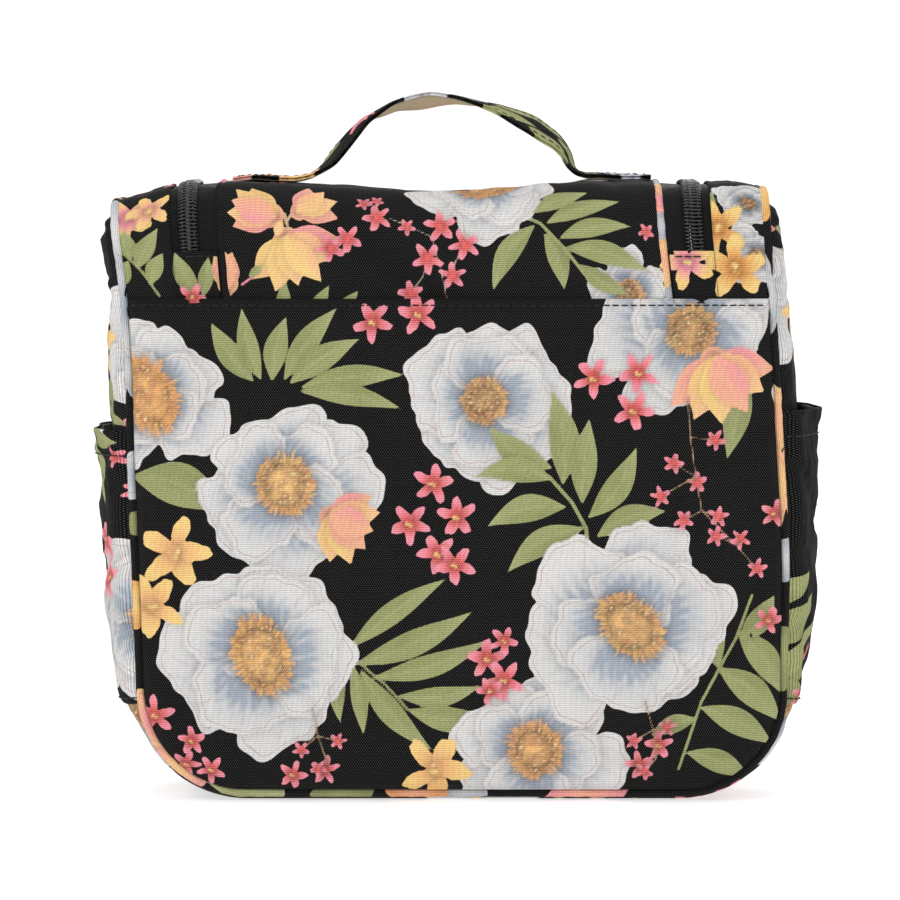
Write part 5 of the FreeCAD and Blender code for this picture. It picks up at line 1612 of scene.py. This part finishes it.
tape_h = net_high[1] - low("mesh_pocket_tape")[1]
for name, side in (("upper", 1), ("lower", -1)):
    z = mouth_z + side * np.linspace(0.4, 7.4, 8)
    x, z = np.broadcast_arrays(np.linspace(-62, 62, 90)[:, None], np.sort(z)[::-1])
    sheet(f"mesh_pocket_tape_{name}", x, z, tape_h, inside_flap, 0.5, "zip_tape", "front_flap",
          ("mesh_pocket_tape",) if side > 0 else ())
coil_h = net_high[1] - (low("mesh_pocket_coil")[1] + high("mesh_pocket_coil")[1]) / 2
parts = []
for side in (-1, 1):
    for x0 in np.arange(-60 + 0.55 * (side > 0), 60, 1.1 * (1)):
        z = mouth_z + side * np.array((2.1, 2.0, 1.2, 0.2, -0.4, -0.5))
        h = coil_h + np.array((-0.5, 0.0, 0.45, 0.45, 0.2, -0.3))
        points = inside_flap(x0 + np.linspace(-0.1, 0.1, 6), z, h)
        parts.append(tube(points, 0.3, 5, (0, -1, 0)))
piece("mesh_pocket_teeth", *merged(parts)[:2], "coil", "front_flap", ("mesh_pocket_coil",), "zip_coil")
seams = [line((-61, mouth_z + d), (61, mouth_z + d)) for d in (-5.2, 5.2)]
stitched(
    "mesh_pocket_stitches", [thread(inside_flap, *seam, tape_h + 0.05) for seam in seams], "front_flap",
    "zip_tape",
)


# --- hook tab -------------------------------------------------------------------------------------

tab_low, tab_high = low("hook_tab"), high("hook_tab")
ROD_LOOP, TAB_HALF, TAB_WALL = 1.95, 9.0, 39.2  # loop round the ring, half width, and where it is sewn down
ring_y, ring_z = tab_low[1] + 2.3, (tab_low[2] + tab_high[2]) / 2
around = np.linspace(0.5, 2 * math.pi - 0.5, 22)
loop_y, loop_z = ring_y + ROD_LOOP * np.cos(around), ring_z + ROD_LOOP * np.sin(around)
sewn = [
    (TAB_WALL, ring_z + 6.6), (TAB_WALL - 0.1, ring_z + 3.4), (TAB_WALL - 1.2, ring_z + 1.3),
    (TAB_WALL - 4, ring_z + 0.55),
]
ribbon = resample(sewn + list(zip(loop_y, loop_z)) + [(y, 2 * ring_z - z) for y, z in reversed(sewn)], 0.5)
ribbon = smoothed(ribbon, 2)
ribbon_run = np.arange(len(ribbon)) * 0.5
ribbon_way = unit(np.gradient(ribbon, axis=0))


def ribbon_at(s, x, h):
    """Points of the tab's ribbon: s along it, x across it, h off its middle."""
    s, x, h = np.broadcast_arrays(s, x, h)
    y, z = (np.interp(s, ribbon_run, ribbon[:, k]) for k in range(2))
    way_y, way_z = (np.interp(s, ribbon_run, ribbon_way[:, k]) for k in range(2))
    return np.stack([x, y + way_z * h, z - way_y * h], -1)


s = ribbon_run[:, None]
x = np.concatenate([[-TAB_HALF], np.linspace(-TAB_HALF + 0.25, TAB_HALF - 0.25, 16), [TAB_HALF]])
s, x = np.broadcast_arrays(s, x)
rim = TAB_HALF - np.abs(x)
h = 0.3 - 0.15 * np.exp(-rim / 0.3) + 0.05 * waves((s, x), 7, 121)
sheet("hook_tab_ribbon", s, x, h, ribbon_at, 0.6, "strap", "front_flap", ("hook_tab",), "inner_cloth")
ribbon_end = ribbon_run[-1]
lines = []
for start, stop in ((0.8, 4.4), (ribbon_end - 4.4, ribbon_end - 0.8)):
    for first, last, lift in ((start, start, 0.3), (stop, stop, 0.3), (start, stop, 0.34)):
        lines.append(thread(ribbon_at, *line((first, -7.6), (last, 7.6)), lift))
stitched("hook_tab_stitches", lines, "front_flap", "inner_cloth")


# --- thread ---------------------------------------------------------------------------------------

stitched("body_stitches", body_thread, "bag_body", "printed_cloth")


# --- metal pieces ---------------------------------------------------------------------------------


def outward(part):
    """The same part with its faces turned to look outward."""
    verts, faces, coords = part
    volume = 0.0
    for face in faces:
        a = verts[face[0]]
        volume += sum(np.dot(a, np.cross(verts[b], verts[c])) for b, c in zip(face[1:], face[2:]))
    return part if volume > 0 else (verts, [face[::-1] for face in faces], coords)


def plate(outline, start, end, rounding, place):
    """A flat plate with rounded edges: an outline in its plane, between two heights over the plane."""
    outline = resample([*outline, outline[0]], 0.35)[:-1]
    ahead = np.roll(outline, -1, 0)
    if np.sum(outline[:, 0] * ahead[:, 1] - ahead[:, 0] * outline[:, 1]) < 0:
        outline = outline[::-1]
    for _ in range(3):
        outline = (np.roll(outline, 1, 0) + 2 * outline + np.roll(outline, -1, 0)) / 4
    way = unit(np.roll(outline, -1, 0) - np.roll(outline, 1, 0))
    normal = np.stack([way[:, 1], -way[:, 0]], -1)
    bend = np.linspace(0, math.pi / 2, 4)
    levels = [(rounding + 0.12, start)] + [
        (rounding * (1 - math.sin(a)), start + rounding * (1 - math.cos(a))) for a in bend
    ]
    levels += [(back, start + end - height) for back, height in reversed(levels)]
    rings = [place(*(outline - normal * back).T, height) for back, height in levels]
    verts = np.concatenate(rings)
    return outward((verts, tube_faces(len(rings), len(outline)), verts))


def metal(name, parts, material, node):
    """One piece of metal that stands for a CAD node and rides the body of the same name."""
    verts, faces, coords = merged([outward(part) for part in parts])
    piece(name, verts, faces, material, node, (node,), "hook_metal" if material == "nickel" else "zip_metal")


def mirrored(half):
    """An outline or a bow from its upper half, which may end on the axis."""
    return [(u, -w) for u, w in half] + [(u, w) for u, w in reversed(half) if w]


def rounded_box(u0, u1, w0, w1, corner):
    """An outline from corner to corner, with its corners cut for rounding."""
    return [
        (u0 + corner, w0), (u1 - corner, w0), (u1, w0 + corner), (u1, w1 - corner), (u1 - corner, w1),
        (u0 + corner, w1), (u0, w1 - corner), (u0, w0 + corner),
    ]


for name, facing, nose in (("left", 1, 1), ("right", 1, -1), ("mesh", -1, -1)):
    start, end = low(f"{name}_slider"), high(f"{name}_slider")
    size = (end[0] - start[0]) / 12
    chain_y = end[1] - 6.15 * size if facing > 0 else start[1] + 6.15 * size
    chain = (start[0] + end[0]) / 2, chain_y, (start[2] + end[2]) / 2

    def at_chain(u, w, out):
        """Points by a slider: u towards its nose, w up, out from the middle of the zip."""
        u, w, out = np.broadcast_arrays(u, w, out)
        return np.stack([chain[0] + u * nose * size, chain[1] + out * facing * size, chain[2] + w * size], -1)

    shield = mirrored([(-6, 2.9), (-3, 4.2), (2.5, 4.5), (5.2, 3.9), (6, 2.2), (5.2, 0)])
    bail = [
        (-3.0, 2.6), (-3.0, 4.4), (-2.4, 5.5), (-1.2, 5.7), (1.2, 5.7), (2.4, 5.5), (3.0, 4.4), (3.0, 2.6),
    ]
    bail = smoothed(resample(bail, 0.3), 3)
    parts = [
        plate(shield, 2.05, 3.25, 0.4, at_chain),
        plate(rounded_box(-5.8, 5.8, -0.3, 4.4, 1.6), -1.7, -0.9, 0.3, at_chain),
    ]
    parts.append(plate(rounded_box(2.2, 4.8, -0.38, 0.38, 0.2), -1.4, 2.4, 0.15, at_chain))
    parts += [
        plate(rounded_box(-5, 4.6, min(a, b), max(a, b), 0.25), 0.5, 2.5, 0.2, at_chain)
        for a, b in ((-4.3, -3.6), (3.6, 4.3))
    ]
    for w in (-0.38, 0.0, 0.38):
        parts.append(tube(at_chain(bail[:, 0], w, bail[:, 1]), 0.5 * size, 10, (0, 0, 1)))
    metal(f"{name}_slider_cast", parts, "black_metal", f"{name}_slider")
    eye = resample(mirrored([(-6.0, -2.4), (-1.6, -2.4), (-0.3, -1.8), (0.0, -1.2)]), 0.3)
    tongue = mirrored(
        [(-5.0, 2.9), (-7.0, 3.3), (-14.0, 2.7), (-21.0, 3.3), (-24.0, 3.1), (-25.3, 1.6), (-25.4, 0)]
    )
    parts = [
        plate(tongue, 3.5, 4.7, 0.45, at_chain),
        tube(at_chain(eye[:, 0], eye[:, 1], 4.1), 0.6 * size, 10, (0, 1, 0)),
    ]
    grip = resample(
        [(-21.6, -1.5), (-18.4, -1.2), (-18.4, 1.2), (-21.6, 1.5), (-22.6, 0), (-21.6, -1.5)], 0.3,
    )
    parts.append(tube(at_chain(grip[:-1, 0], grip[:-1, 1], 4.7), 0.22 * size, 6, (0, 1, 0), closed=True))
    metal(f"{name}_pull_tab", parts, "black_metal", f"{name}_pull")

HOOK_R, WIRE = 12.25, 2.25  # radius of the hook's bend, and of its wire
foot_z, arc_z = ring_z + 5.2, ring_z + 15.0
turn = np.radians(np.arange(-90, 165, 3.0))
arc = np.stack([HOOK_R * np.cos(turn), arc_z + HOOK_R + HOOK_R * np.sin(turn)], -1)
beyond = arc[-1] + unit(arc[-1] - arc[-2]) * np.linspace(0.3, 2.58, 7)[:, None]
spine = resample(np.concatenate([[(0.0, foot_z), (0.0, arc_z - 0.6)], arc[1:], beyond]), 0.2)
run = np.arange(len(spine)) * 0.2
tip = run[-1] - 2.58
radius = np.interp(
    run, (0, 0.25, 1.35, 1.6, 5.3, 5.5, 7.5, 7.8, 8.6), (2.1, 2.6, 2.6, 1.5, 1.5, 3.2, 3.2, 2.9, WIRE),
)
ball = np.sqrt(np.maximum(2.6**2 - (run - tip) ** 2, 0.05))
radius = np.where(run > tip - 1.3, ball, radius)
part = tube(np.stack([spine[:, 0], ring_y + 0 * run, spine[:, 1]], -1), radius, 20, (0, 1, 0))
metal("hook_wire", [part], "nickel", "hook")

corner = [
    (11.3, 1.6), (11.3, 7.2), (10.8, 8.3), (9.7, 8.8), (-9.7, 8.8), (-10.8, 8.3), (-11.3, 7.2), (-11.3, 1.6),
    (-10.9, 0.5), (-9.9, 0.0), (9.9, 0.0), (10.9, 0.5), (11.3, 1.6),
]
frame_line = resample(corner, 0.4)[:-1]
part = tube(
    np.stack([frame_line[:, 0], ring_y + 0 * frame_line[:, 0], ring_z + frame_line[:, 1]], -1), 1.2, 14,
    (0, 1, 0), closed=True,
)
turn = np.linspace(0, 2 * math.pi, 41)[:-1]
hub = tube(
    np.stack([2.5 * np.cos(turn), ring_y + 2.5 * np.sin(turn), ring_z + 8.8 + 0 * turn], -1), 0.95, 14,
    (0, 0, 1), closed=True,
)
metal("hook_ring_wire", [part, hub], "nickel", "hook_ring")


# --- floor ----------------------------------------------------------------------------------------

ROOM, COVE, WALL_TOP = 5.0, 1.0, 2.2  # metres: the floor, and a round wall that it curves up into
bend_at = np.linspace(0, math.pi / 2, 10)
profile = [(ROOM + COVE * math.sin(a), COVE * (1 - math.cos(a))) for a in bend_at] + [(ROOM + COVE, WALL_TOP)]
around = np.linspace(0, 2 * math.pi, 97)[:-1]
floor_verts = [(0.0, 0.0, 0.0)] + [(r * math.cos(a), r * math.sin(a), z) for r, z in profile for a in around]
floor_faces = [(0, 1 + k, 1 + (k + 1) % 96) for k in range(96)]
for ring in range(len(profile) - 1):
    first = 1 + ring * 96
    floor_faces += [
        (first + k, first + 96 + k, first + 96 + (k + 1) % 96, first + (k + 1) % 96) for k in range(96)
    ]
floor_mesh = bpy.data.meshes.new("floor")
floor_mesh.from_pydata(floor_verts, [], floor_faces)
floor_mesh.polygons.foreach_set("use_smooth", np.ones(len(floor_mesh.polygons), bool))
add_object("floor", floor_mesh)
pale = bpy.data.materials.new("pale")
pale.use_nodes = True
shader = pale.node_tree.nodes["Principled BSDF"]
shader.inputs["Base Color"].default_value = (0.55, 0.55, 0.55, 1.0)
shader.inputs["Roughness"].default_value = 0.7
shader.inputs["Emission Color"].default_value = (1.0, 1.0, 1.0, 1.0)
shader.inputs["Emission Strength"].default_value = 0.62
floor_mesh.materials.append(pale)
